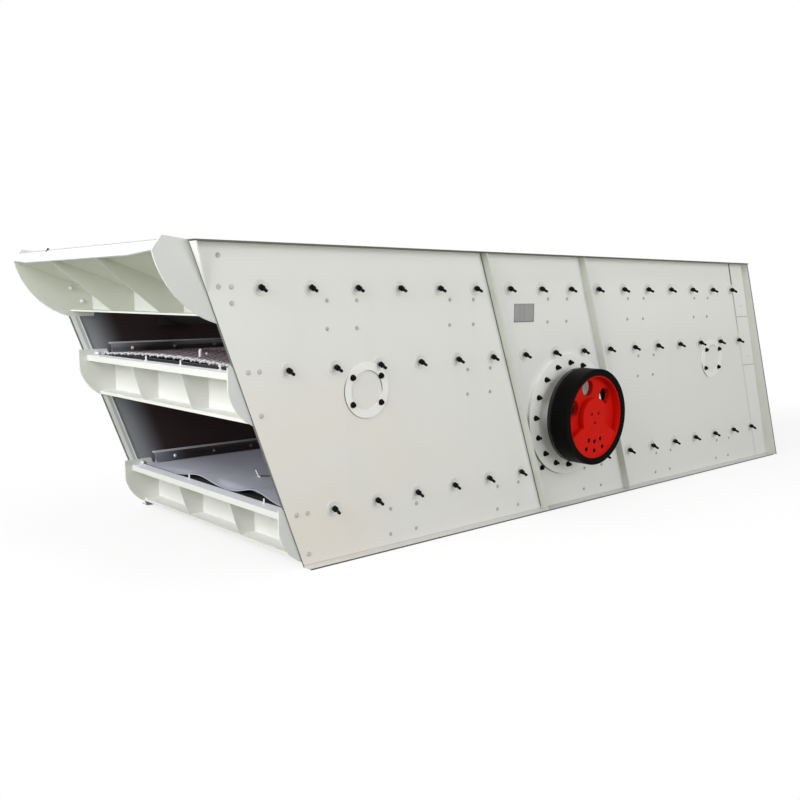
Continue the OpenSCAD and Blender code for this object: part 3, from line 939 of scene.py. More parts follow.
@dataclass(frozen=True)
class PlateMetal(Finish):
    """Brushed grey metal of the bare plate, with upright brush marks."""

    name: str = "plate_metal"
    light: Colour = (0.305, 0.305, 0.305)
    dark: Colour = (0.265, 0.265, 0.27)
    # Painted shade on the rim at the right and the foot.
    rim: Colour = (0.15, 0.15, 0.155)
    rim_x: float = -0.3734
    rim_z: float = 1.451

    def lay(self, s: Shader, machine: Machine) -> None:
        """Brushes the metal and paints shade on its rim at the right and the foot.

        Args:
            s: The material's tree.
            machine: Unused, because the rim is placed already.
        """
        x, _, z = s.place()
        brush = s.noise(60.0, (1, 1, 0.02), 3.0)
        # Painted shade on the rim at the right and the foot.
        rim = x.ramp(self.rim_x - MM, self.rim_x).most(z.fade(self.rim_z, self.rim_z + MM))
        face = s.mix(brush.ramp(0.3, 0.7), self.light, self.dark)
        s.surface(
            Base_Color=s.mix(rim, face, self.rim),
            Roughness=brush * 0.2 + 0.35,
            Metallic=0.4,
            Normal=s.bump(brush, 0.1, 0.4 * MM),
        )


class Bench:
    """Modelling by operators on one object at a time, as by hand."""

    @staticmethod
    def clear() -> None:
        """Deselects everything."""
        bpy.ops.object.select_all(action="DESELECT")

    @classmethod
    def alone(cls, obj: Piece) -> None:
        """Selects one object and nothing else.

        Args:
            obj: The object.
        """
        cls.clear()
        obj.select_set(True)
        bpy.context.view_layer.objects.active = obj

    @staticmethod
    def named(name: str) -> Piece:
        """Names the object that an operator has just added.

        Args:
            name: Its name.

        Returns:
            The object.
        """
        obj = bpy.context.view_layer.objects.active
        obj.name = name
        obj.data.name = name
        return obj

    @staticmethod
    def put(name: str, data: bpy.types.ID) -> Piece:
        """Puts a mesh, curve, lamp or camera into the scene.

        Args:
            name: The object's name.
            data: What it holds.

        Returns:
            The object.
        """
        obj = bpy.data.objects.new(name, data)
        bpy.context.scene.collection.objects.link(obj)
        return obj

    @classmethod
    def cylinder(cls, name: str, sides: int, radius: float, z0: float, z1: float) -> Piece:
        """Adds an upright cylinder.

        Args:
            name: The object's name.
            sides: Number of its sides.
            radius: Radius to its corners.
            z0: Height of its foot.
            z1: Height of its top.

        Returns:
            The object.
        """
        cls.clear()
        bpy.ops.mesh.primitive_cylinder_add(
            vertices=sides, radius=radius, depth=z1 - z0, location=(0, 0, (z0 + z1) / 2)
        )
        obj = cls.named(name)
        cls.settle(obj)
        return obj

    @classmethod
    def block(cls, name: str, low: Sequence[float], high: Sequence[float], bevel: float = 0.0) -> Piece:
        """Adds a box between two corners, with its edges bevelled.

        Args:
            name: The object's name.
            low: Lowest corner.
            high: Highest corner.
            bevel: Width of the bevel.

        Returns:
            The object.
        """
        cls.clear()
        middle = [(a + b) / 2 for a, b in zip(low, high)]
        bpy.ops.mesh.primitive_cube_add(size=1, location=middle)
        obj = cls.named(name)
        obj.scale = [b - a for a, b in zip(low, high)]
        cls.settle(obj)
        if bevel:
            cls.bevel(obj, bevel, 2)
        return obj

    @classmethod
    def settle(cls, obj: Piece) -> None:
        """Puts an object's place, turn and size into its mesh."""
        cls.alone(obj)
        bpy.ops.object.transform_apply(location=True, rotation=True, scale=True)

    @classmethod
    def pick(cls, obj: Piece, test: Callable[[bpy.types.MeshPolygon], bool]) -> None:
        """Enters edit mode with the faces that pass a test selected.

        Args:
            obj: The object.
            test: Says whether a face is wanted.
        """
        cls.alone(obj)
        bpy.ops.object.mode_set(mode="EDIT")
        bpy.ops.mesh.select_mode(type="FACE")
        bpy.ops.mesh.select_all(action="DESELECT")
        bpy.ops.object.mode_set(mode="OBJECT")
        for face in obj.data.polygons:
            face.select = test(face)
        bpy.ops.object.mode_set(mode="EDIT")

    @classmethod
    def pick_top(cls, obj: Piece) -> None:
        """Enters edit mode with the faces that look up selected."""
        cls.pick(obj, lambda face: face.normal.z > FACING)

    @staticmethod
    def inset(width: float) -> None:
        """Insets the selected faces by a width."""
        bpy.ops.mesh.inset(thickness=width, depth=0)

    @staticmethod
    def pull(way: Sequence[float]) -> None:
        """Extrudes the selected faces along a way."""
        bpy.ops.mesh.extrude_region_move(TRANSFORM_OT_translate={"value": tuple(way)})

    @staticmethod
    def move(way: Sequence[float]) -> None:
        """Moves what is selected along a way."""
        bpy.ops.transform.translate(value=tuple(way))

    @staticmethod
    def done() -> None:
        """Leaves edit mode."""
        bpy.ops.object.mode_set(mode="OBJECT")

    @classmethod
    def dome(cls, obj: Piece, width: float, rise: float) -> None:
        """Tapers an object's top.

        Args:
            obj: The object.
            width: How far the top is drawn in.
            rise: How far it is raised.
        """
        cls.pick_top(obj)
        cls.inset(width)
        cls.move((0, 0, rise))
        cls.done()

    @classmethod
    def apply(cls, obj: Piece, kind: str, **settings: object) -> None:
        """Adds a modifier and applies it.

        Args:
            obj: The object.
            kind: The modifier's type.
            settings: Its properties.
        """
        cls.alone(obj)
        modifier = obj.modifiers.new(kind.lower(), kind)
        for key, value in settings.items():
            setattr(modifier, key, value)
        bpy.ops.object.modifier_apply(modifier=modifier.name)

    @classmethod
    def bevel(cls, obj: Piece, width: float, segments: int = 1, angle: float = 40.0) -> None:
        """Bevels an object's edges that are sharper than an angle in degrees."""
        limit = {"limit_method": "ANGLE", "angle_limit": math.radians(angle)}
        cls.apply(obj, "BEVEL", width=width, segments=segments, **limit)

    @classmethod
    def smooth(cls, obj: Piece, angle: float = 35.0) -> None:
        """Shades smooth all edges below an angle in degrees."""
        cls.alone(obj)
        bpy.ops.object.shade_smooth_by_angle(angle=math.radians(angle))

    @classmethod
    def join(cls, name: str, parts: Sequence[Piece]) -> Piece:
        """Joins objects into one.

        Args:
            name: Name of the joined object.
            parts: The objects.

        Returns:
            The joined object.
        """
        cls.clear()
        for part in parts:
            part.select_set(True)
        bpy.context.view_layer.objects.active = parts[0]
        if len(parts) > 1:
            bpy.ops.object.join()
        return cls.named(name)

    @classmethod
    def stamp(cls, name: str, model: Piece, places: Iterable[Matrix]) -> Piece:
        """Copies a model to several places, each copy with its own mesh, and joins the copies.

        Args:
            name: Name of the joined object.
            model: The model, which is used up.
            places: Matrices that carry the model to its places.

        Returns:
            The joined object.
        """
        copies = []
        for i, place in enumerate(places):
            mesh = model.data.copy()
            mesh.transform(place)
            if place.determinant() < 0:
                mesh.flip_normals()
            copies.append(cls.put(f"{name}_{i}", mesh))
        bpy.data.objects.remove(model)
        return cls.join(name, copies)


@dataclass
class Dressing:
    """What the sub-assemblies share: the sizes and the finishes, by name."""

    machine: Machine
    finishes: dict[str, bpy.types.Material]

    def hand_over(
        self, obj: Piece, finish: str, slot: str, body: str = SCREEN_BOX, replaced: Sequence[str] = ()
    ) -> None:
        """Gives a finished piece its material and body.

        Args:
            obj: The piece.
            finish: Name of its finish.
            slot: Material slot of the record, which is not used.
            body: CAD body that it moves with.
            replaced: CAD nodes that it stands for.
        """
        obj.data.materials.clear()
        obj.data.materials.append(self.finishes[finish])
        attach(obj, body)
        if replaced:
            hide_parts(*replaced)
        LOG.info("%s: %d faces, on %s", obj.name, len(obj.data.polygons), body)

    def set_out(self, name: str, model: Piece, spots: Iterable[Matrix], finish: str, slot: str) -> None:
        """Copies a model to its places and hands the copies over as one piece."""
        self.hand_over(Bench.stamp(name, model, spots), finish, slot)


def outward(side: Side, x: float, y: float, z: float, tilt: float = 0.0) -> Matrix:
    """Carries a model that stands along +Z to a wall, so that it points out of the machine.

    Args:
        side: The wall's side.
        x: Place along the machine.
        y: Distance from the middle plane.
        z: Height.
        tilt: Droop of the outer end below level, in degrees.

    Returns:
        The matrix.
    """
    turn = Matrix.Rotation(math.radians(90 + tilt), 4, "X")
    near = Matrix.Translation((x, -y, z)) @ turn
    return near if side is Side.NEAR else Matrix.Scale(-1, 4, (0, 1, 0)) @ near


def inward(side: Side, x: float, y: float, z: float) -> Matrix:
    """Carries a model that stands along +Z to a wall, so that it points into the machine.

    Args:
        side: The wall's side.
        x: Place along the machine.
        y: Distance from the middle plane.
        z: Height.

    Returns:
        The matrix.
    """
    far = Matrix.Translation((x, y, z)) @ Matrix.Rotation(math.radians(90), 4, "X")
    return far if side is Side.FAR else Matrix.Scale(-1, 4, (0, 1, 0)) @ far


@dataclass
class TensionBolts:
    """Rows of drooping bolts that pull the tension rails out, each with a washer cup and a rail head."""

    dressing: Dressing
    count: int = 16
    first: float = 0.3448
    pitch: float = 0.34877
    reach: float = 0.016
    droop: float = 23.0
    cup_r: float = 0.049
    cup_l: float = 0.004
    cup_rim: float = 0.014
    cup_sink: float = 0.002
    nut_r: float = 0.019
    nut_foot: float = -0.006
    nut_l: float = 0.020
    stud_r: float = 0.0098
    stud_foot: float = 0.004
    stud_l: float = 0.036
    stud_tip: Pair = (0.003, 0.004)
    head_r: float = 0.013
    head_l: float = 0.006
    head_steps: tuple[Pair, ...] = ((0.004, 0.004), (0.005, 0.002))
    head_rise: float = 0.033
    under_flange: tuple[int, ...] = (6, 7)
    rows: tuple[tuple[Deck, float], ...] = (
        (Deck.TOP, 1.6902),
        (Deck.MIDDLE, 1.2094),
        (Deck.BOTTOM, 0.3365),
    )

    def spots(self) -> list[tuple[Deck, float, float]]:
        """Places the bolts of one side, without those that the exciter's flange covers.

        Returns:
            Deck, X and height of each.
        """
        machine = self.dressing.machine
        return [
            (deck, machine.x_at(self.first + i * self.pitch, z), z)
            for deck, z in self.rows
            for i in range(self.count)
            if deck is not Deck.BOTTOM or i not in self.under_flange
        ]

    def bolt(self) -> Piece:
        """Models a chamfered nut with its stud.

        Returns:
            The bolt, seated at height 0.
        """
        nut = Bench.cylinder("nut", 6, self.nut_r, self.nut_foot, self.nut_l)
        Bench.bevel(nut, 2 * MM)
        stud = Bench.cylinder("stud", 10, self.stud_r, self.stud_foot, self.nut_l + self.stud_l)
        Bench.dome(stud, *self.stud_tip)
        bolt = Bench.join("bolt", [nut, stud])
        Bench.smooth(bolt)
        return bolt

    def cup(self) -> Piece:
        """Models a low bevelled washer cup with a shallow seat.

        Returns:
            The cup, with its foot at height 0.
        """
        cup = Bench.cylinder("cup", 32, self.cup_r, 0, self.cup_l)
        Bench.pick_top(cup)
        Bench.inset(self.cup_rim)
        Bench.pull((0, 0, -self.cup_sink))
        Bench.done()
        Bench.bevel(cup, MM)
        Bench.smooth(cup)
        return cup

    def head(self) -> Piece:
        """Models a domed round head.

        Returns:
            The head, with its foot at height 0.
        """
        head = Bench.cylinder("head", 14, self.head_r, 0, self.head_l)
        for width, rise in self.head_steps:
            Bench.dome(head, width, rise)
        Bench.smooth(head, 60)
        return head

    def build(self) -> None:
        """Builds the bolts and cups on both walls, and the heads on the rails' inner faces."""
        machine, set_out = self.dressing.machine, self.dressing.set_out
        wall, rail = machine.half_out, machine.half_in - machine.rail_reach
        spots = self.spots()
        for side in Side:
            ends = [outward(side, x, wall + self.reach, z, self.droop) for _, x, z in spots]
            set_out(f"{side.tag}_tension_bolts", self.bolt(), ends, "black_bolt", "rim_black")
            discs = [outward(side, x, wall, z) for _, x, z in spots]
            set_out(f"{side.tag}_tension_cups", self.cup(), discs, "cup_paint", "wall_paint")
            faces = [inward(side, x, rail, deck.value + self.head_rise) for deck, x, _ in spots]
            set_out(f"{side.tag}_rail_heads", self.head(), faces, "rail_head", "bright_steel")


@dataclass(frozen=True)
class Nut:
    """Sizes of a nut: width over its corners, height, and length of the bolt's end over it."""

    across: float
    height: float
    stub: float


@dataclass
class WallBolts:
    """Bolts on the walls' outside: beam ends, spring pads, end lips and the exciter's flange."""

    dressing: Dressing
    beam_nut: Nut = Nut(0.021, 0.006, 0.001)
    lip_nut: Nut = Nut(0.025, 0.005, 0.001)
    pad_nut: Nut = Nut(0.033, 0.018, 0.006)
    ring_nut: Nut = Nut(0.035, 0.020, 0.014)
    middle_e: Pair = (1.882, 3.946)
    shift_e: float = 0.017
    shift_z: tuple[tuple[Deck, float], ...] = (
        (Deck.TOP, 0.0),
        (Deck.MIDDLE, -0.007),
        (Deck.BOTTOM, -0.014),
    )
    ring_r: float = 0.400
    ring_count: int = 16
    flange_nut: Pair = (-0.2421, 0.3285)
    lip_bolts: tuple[Pair, ...] = (
        (0.144, 1.86),
        (0.080, 1.69),
        (0.160, 1.69),
        (0.127, 1.60),
        (0.080, 1.21),
        (0.154, 1.21),
        (0.067, 0.955),
        (0.071, 0.335),
        (0.151, 0.335),
        (0.063, 0.080),
    )

    def hex_bolt(self, nut: Nut) -> Piece:
        """Models a nut on its washer, with the bolt's end standing out of it.

        Args:
            nut: Its sizes.

        Returns:
            The model, seated at height 0.
        """
        across, height = nut.across, nut.height
        washer_t = height * 0.18
        washer = Bench.cylinder("washer", 16, across * 0.62, 0, washer_t)
        body = Bench.cylinder("nut", 6, across / 2, washer_t, height)
        Bench.bevel(body, across * 0.05)
        end = Bench.cylinder("end", 10, across * 0.27, height * 0.5, height + nut.stub)
        Bench.dome(end, across * 0.06, across * 0.05)
        bolt = Bench.join("bolt", [washer, body, end])
        Bench.smooth(bolt)
        return bolt

    def square(self, side: Side, e: float, z: float, lift: float = 0.0) -> list[Matrix]:
        """The four places of a bolt square.

        Args:
            side: The wall's side.
            e: Centre, from the feed edge.
            z: Height of the centre.
            lift: Height of the seat over the wall.

        Returns:
            Four matrices.
        """
        machine = self.dressing.machine
        x = machine.x_at(e, z)
        return [
            outward(side, x + sx * machine.bolt_x / 2, machine.half_out + lift, z + sz * machine.bolt_z / 2)
            for sx in (-1, 1)
            for sz in (-1, 1)
        ]

    def beam_spots(self, side: Side) -> list[Matrix]:
        """Places the bolts of the cross beams' ends.

        Args:
            side: The wall's side.

        Returns:
            Their matrices.
        """
        machine = self.dressing.machine
        beams = [machine.beam_first + i * machine.beam_pitch for i in range(machine.beam_count)]
        spots = []
        for deck, shift in self.shift_z:
            z = deck.value - machine.beam_drop + shift
            for e in self.middle_e if deck is Deck.MIDDLE else beams:
                spots += self.square(side, e + self.shift_e, z)
        return spots

    def pad_spots(self, side: Side) -> list[Matrix]:
        """Places the bolts of the spring pads, and one like them below the exciter's flange.

        Args:
            side: The wall's side.

        Returns:
            Their matrices.
        """
        machine = self.dressing.machine
        squares = [self.square(side, e, machine.spring_z, machine.pad_t) for e in machine.spring_e]
        x, z = self.flange_nut
        return [*squares[0], *squares[1], outward(side, x, machine.half_out, z)]

    def ring_spots(self, side: Side) -> list[Matrix]:
        """Places the bolts around the exciter's flange.

        Args:
            side: The wall's side.

        Returns:
            Their matrices.
        """
        machine = self.dressing.machine
        angles = [2 * math.pi * i / self.ring_count for i in range(self.ring_count)]
        ring = [(self.ring_r * math.cos(a), self.ring_r * math.sin(a)) for a in angles]
        y = machine.half_out + machine.bearing_t
        return [outward(side, machine.axis_x + x, y, machine.exciter_z + z) for x, z in ring]

    def build(self) -> None:
        """Builds both sides."""
        machine = self.dressing.machine
        for side in Side:
            lips = [outward(side, machine.x_at(e, z), machine.half_out, z) for e, z in self.lip_bolts]
            for name, nut, spots, finish, slot in (
                ("beam_bolts", self.beam_nut, self.beam_spots(side), "shaded_head_paint", "wall_paint"),
                ("lip_bolts", self.lip_nut, lips, "dull_bolt", "bright_steel"),
                ("spring_pad_bolts", self.pad_nut, self.pad_spots(side), "black_bolt", "rim_black"),
                ("exciter_bolts", self.ring_nut, self.ring_spots(side), "black_bolt", "rim_black"),
            ):
                self.dressing.set_out(f"{side.tag}_{name}", self.hex_bolt(nut), spots, finish, slot)


@dataclass
class BarePlate:
    """Bare metal plate on the near wall, held by four rivets."""

    dressing: Dressing
    x0: float = 2.590
    x1: float = 2.810
    z0: float = 1.445
    z1: float = 1.580
    thick: float = 0.003
    rim: float = 0.006
    sink: float = 0.0012
    rivet_r: float = 0.005
    rivet_l: float = 0.003
    rivet_tip: Pair = (0.002, 0.0015)
    rivet_in: float = 0.013

    def build(self) -> None:
        """Builds the plate with its raised rim and rivets."""
        machine = self.dressing.machine
        y = -machine.half_out
        low = (self.x0 - machine.x_mid, y - self.thick, self.z0)
        high = (self.x1 - machine.x_mid, y, self.z1)
        plate = Bench.block("bare_plate", low, high)
        Bench.pick(plate, lambda face: face.normal.y < -FACING)
        Bench.inset(self.rim)
        Bench.pull((0, self.sink, 0))
        Bench.done()
        Bench.bevel(plate, 0.6 * MM)
        rivet = Bench.cylinder("rivet", 12, self.rivet_r, 0, self.rivet_l)
        Bench.dome(rivet, *self.rivet_tip)
        spots = [
            outward(Side.NEAR, x, machine.half_out + self.thick - self.sink, z)
            for x in (low[0] + self.rivet_in, high[0] - self.rivet_in)
            for z in (self.z0 + self.rivet_in, self.z1 - self.rivet_in)
        ]
        plate = Bench.join("bare_plate", [plate, Bench.stamp("rivets", rivet, spots)])
        self.dressing.hand_over(plate, "plate_metal", "bright_steel")


@dataclass
class WovenDeck:
    """Crimped wire cloth on the crown of a deck, with a flat hem under each tension rail."""

    dressing: Dressing
    deck: Deck
    start: float
    pitch: float
    wire_r: float
    hem: float = 0.100

    def wire(self, path: Sequence[Point], turned: bool) -> Piece:
        """Models one crimped wire by extruding a ring from crimp to crimp.

        Args:
            path: Points of its axis.
            turned: True for a wire that runs across the machine.

        Returns:
            The wire.
        """
        Bench.clear()
        turn = (math.pi / 2, 0, 0) if turned else (0, math.pi / 2, 0)
        bpy.ops.mesh.primitive_circle_add(
            vertices=6, radius=self.wire_r, fill_type="NGON", location=path[0], rotation=turn
        )
        obj = Bench.named("wire")
        Bench.settle(obj)
        bpy.ops.object.mode_set(mode="EDIT")
        bpy.ops.mesh.select_all(action="SELECT")
        for a, b in zip(path, path[1:]):
            Bench.pull([q - p for p, q in zip(a, b)])
        bpy.ops.mesh.select_all(action="SELECT")
        bpy.ops.mesh.normals_make_consistent(inside=False)
        Bench.done()
        Bench.smooth(obj, 60)
        return obj

    def build(self) -> None:
        """Builds the wires along and across, and the hems."""
        machine, pitch = self.dressing.machine, self.pitch
        foot = machine.cloth_foot(self.deck)
        x0, x1 = self.start, machine.cloth_ends(self.deck)[1]
        half = machine.half_in - machine.cloth_margin + self.hem * 0.5
        crimp = self.wire_r * 0.9
        z = foot + self.wire_r + crimp
        along_count, across_count = int(2 * half / pitch), int((x1 - x0) / pitch)
        ys = [(i - (along_count - 1) / 2) * pitch for i in range(along_count)]
        xs = [x0 + pitch * (i + 0.5) for i in range(across_count)]
        stops = [x0, *xs, xs[-1] + pitch / 2]
        pieces = []
        for phase in (0, 1):
            path = [(x, 0.0, z + crimp * (-1) ** (i + phase)) for i, x in enumerate(stops)]
            spots = [Matrix.Translation((0, y, machine.crown(y))) for y in ys[phase::2]]
            pieces.append(Bench.stamp("wires_along", self.wire(path, False), spots))
        for phase in (0, 1):
            path = [(0.0, y, z + machine.crown(y) + crimp * (-1) ** (i + phase)) for i, y in enumerate(ys)]
            spots = [Matrix.Translation((x, 0, 0)) for x in xs[phase::2]]
            pieces.append(Bench.stamp("wires_across", self.wire(path, True), spots))
        for side in Side:
            edges = (half - self.hem * 0.2, machine.half_in - machine.hem_gap)
            y0, y1 = sorted(side.value * y for y in edges)
            pieces.append(Bench.block("hem", (x0, y0, foot), (x1, y1, self.deck.value), 2 * MM))
        cloth = Bench.join(f"{self.deck.tag}_woven_cloth", pieces)
        self.dressing.hand_over(cloth, "wire_steel", "wire_cloth", replaced=[f"{self.deck.tag}_cloth"])


@dataclass(frozen=True)
class Wave:
    """A loose wave of the fine cloth: its middle across the machine, half width and height."""

    y: float
    width: float
    height: float


@dataclass
class FineDeck:
    """Loose fine cloth of the bottom deck, which lies flat on its ledge and stands up in two waves there."""

    dressing: Dressing
    thick: float = 0.004
    waves: tuple[Wave, ...] = (Wave(0.19, 0.215, 0.040), Wave(-0.545, 0.19, 0.054))
    flat_l: float = 0.05
    wave_l: float = 0.45
    grid: tuple[int, int] = (280, 110)

    def rise(self, along: float, y: float) -> float:
        """Height of the cloth over its foot.

        Args:
            along: Distance from the cloth's front.
            y: Distance from the middle plane.

        Returns:
            The height of the crown or of a wave, whichever is higher.
        """
        crown = self.dressing.machine.crown(y) * (1 - math.exp(-((along / self.flat_l) ** 2)))
        front = math.exp(-((along / self.wave_l) ** 2))
        waves = [front * w.height * math.exp(-(((y - w.y) / w.width) ** 2)) for w in self.waves]
        return max(crown, *waves)

    def build(self) -> None:
        """Builds the sheet from a grid that is raised over the crown and the waves."""
        machine = self.dressing.machine
        x0, x1 = machine.cloth_ends(Deck.BOTTOM)
        half = machine.half_in - machine.hem_gap
        Bench.clear()
        bpy.ops.mesh.primitive_grid_add(x_subdivisions=self.grid[0], y_subdivisions=self.grid[1], size=1)
        sheet = Bench.named("bottom_fine_cloth")
        sheet.scale = (x1 - x0, 2 * half, 1)
        sheet.location = ((x0 + x1) / 2, 0, machine.cloth_foot(Deck.BOTTOM))
        Bench.settle(sheet)
        for vertex in sheet.data.vertices:
            vertex.co.z += self.rise(vertex.co.x - x0, vertex.co.y)
        Bench.apply(sheet, "SOLIDIFY", thickness=self.thick, offset=1.0)
        Bench.smooth(sheet)
        self.dressing.hand_over(sheet, "fine_cloth", "fine_cloth", replaced=["bottom_cloth"])


@dataclass(frozen=True)
class Pin:
    """Sizes of a pin."""

    radius: float
    height: float


@dataclass
class FeedFittings:
    """Small fittings at the feed end: black strips as painted shade under the cloth, hooks that hold the
    cloth, studs and bolts.
    """

    dressing: Dressing
    pad_e: Pair = (0.105, 0.205)
    pad_t: float = 0.003
    pad_gap: float = 0.016
    hook: Pin = Pin(0.006, 0.030)
    hook_ys: tuple[float, ...] = (0.242, -0.246, -0.740)
    hook_e: float = 0.090
    fine_hooks: tuple[Point, ...] = ((-2.490, 0.300, 0.337), (-2.497, -0.690, 0.337))
    stud: Pin = Pin(0.011, 0.058)
    stud_spot: Point = (-2.649, -0.200, 1.232)
    small_bolt: Pin = Pin(0.008, 0.026)
    small_bolt_spot: Point = (-2.530, -0.069, 1.232)
    strip_bolt: Pin = Pin(0.008, 0.020)
    strip_bolt_spot: Point = (-3.338, 0.513, 1.9215)
    rod_r: float = 0.007
    rod_path: tuple[Point, ...] = (
        (-2.172, -0.080, 0.420),
        (-2.160, -0.094, 0.372),
        (-2.060, -0.190, 0.372),
    )
    cheek_bolt: Pin = Pin(0.010, 0.016)
    cheek_bolts: tuple[Pair, ...] = (
        (-2.994, 1.692),
        (-2.916, 1.599),
        (-2.818, 1.216),
        (-2.745, 1.213),
        (-2.492, 0.349),
    )

    def pads(self) -> None:
        """Lays a thin black strip on each ledge under the cloth's front, as painted shade."""
        machine = self.dressing.machine
        half = machine.half_in - self.pad_gap
        for deck in (Deck.MIDDLE, Deck.BOTTOM):
            z = machine.cloth_foot(deck)
            x0, x1 = (machine.x_at(e, z) for e in self.pad_e)
            pad = Bench.block(f"{deck.tag}_rubber_strip", (x0, -half, z), (x1, half, z + self.pad_t), MM)
            self.dressing.hand_over(pad, "rubber", "rim_black")

    def pin(self, size: Pin) -> Piece:
        """Models an upright pin with a collar and a rounded top.

        Args:
            size: Its sizes.

        Returns:
            The pin, with its foot at height 0.
        """
        radius = size.radius
        shank = Bench.cylinder("shank", 12, radius, 0, size.height)
        Bench.dome(shank, radius * 0.45, radius * 0.5)
        collar = Bench.cylinder("collar", 6, radius * 1.9, 0, radius * 1.1)
        Bench.bevel(collar, radius * 0.2)
        return Bench.join("pin", [shank, collar])

    def rod(self) -> None:
        """Bends a round rod along its path, as a bevelled curve that becomes a mesh."""
        curve = bpy.data.curves.new("bent_rod", "CURVE")
        curve.dimensions = "3D"
        curve.bevel_depth = self.rod_r
        curve.bevel_resolution = 3
        curve.use_fill_caps = True
        spline = curve.splines.new("POLY")
        spline.points.add(len(self.rod_path) - 1)
        for point, place in zip(spline.points, self.rod_path):
            point.co = (*place, 1.0)
        Bench.alone(Bench.put("bent_rod", curve))
        bpy.ops.object.convert(target="MESH")
        rod = Bench.named("bent_rod")
        Bench.smooth(rod, 50)
        self.dressing.hand_over(rod, "rod_steel", "bright_steel")

    def build(self) -> None:
        """Builds the strips, hooks, studs and bolts."""
        machine, at = self.dressing.machine, Matrix.Translation
        self.pads()
        ledge = machine.cloth_foot(Deck.MIDDLE)
        hooks = [(machine.x_at(self.hook_e, ledge), y, ledge) for y in self.hook_ys]
        upright = (
            ("cloth_hooks", self.hook, (*hooks, *self.fine_hooks), "zinc", "bright_steel"),
            ("hold_down_stud", self.stud, (self.stud_spot,), "zinc", "bright_steel"),
            ("hold_down_bolt", self.small_bolt, (self.small_bolt_spot,), "zinc", "bright_steel"),
            ("strip_bolt", self.strip_bolt, (self.strip_bolt_spot,), "black_bolt", "rim_black"),
        )
        for name, size, spots, finish, slot in upright:
            self.dressing.set_out(name, self.pin(size), [at(spot) for spot in spots], finish, slot)
        self.rod()
        heads = [inward(Side.FAR, x, machine.cheek_in, z) for x, z in self.cheek_bolts]
        self.dressing.set_out("cheek_bolts", self.pin(self.cheek_bolt), heads, "zinc", "bright_steel")


@dataclass
class RibShadowStrips:
    """Dark strip along the root of the first upright rib, as painted shadow."""

    dressing: Dressing
    width: float = 0.006
    proud: float = 0.0036
    foot: float = 0.030

    def build(self) -> None:
        """Builds a slanted dark strip on both sides, as painted shadow."""
        machine = self.dressing.machine
        top = machine.wall_h - machine.flange_t
        x = machine.x_at(machine.rib_e - machine.rib_half - self.width, self.foot)
        for side in Side:
            y0, y1 = sorted(side.value * (machine.half_out + d) for d in (0.0, self.proud))
            shadow_strip = Bench.block(f"{side.tag}_rib_seam", (x, y0, self.foot), (x + self.width, y1, top))
            Bench.pick_top(shadow_strip)
            Bench.move((machine.lean(top) - machine.lean(self.foot), 0, 0))
            Bench.done()
            Bench.bevel(shadow_strip, 2 * MM, 2)
            self.dressing.hand_over(shadow_strip, "rib_shadow_black", "rim_black")


@dataclass(frozen=True)
class Lamp:
    """A square soft lamp: its place, what it looks at, the length of its side and its power in watts."""

    name: str
    spot: Point
    target: Point
    size: float
    power: float


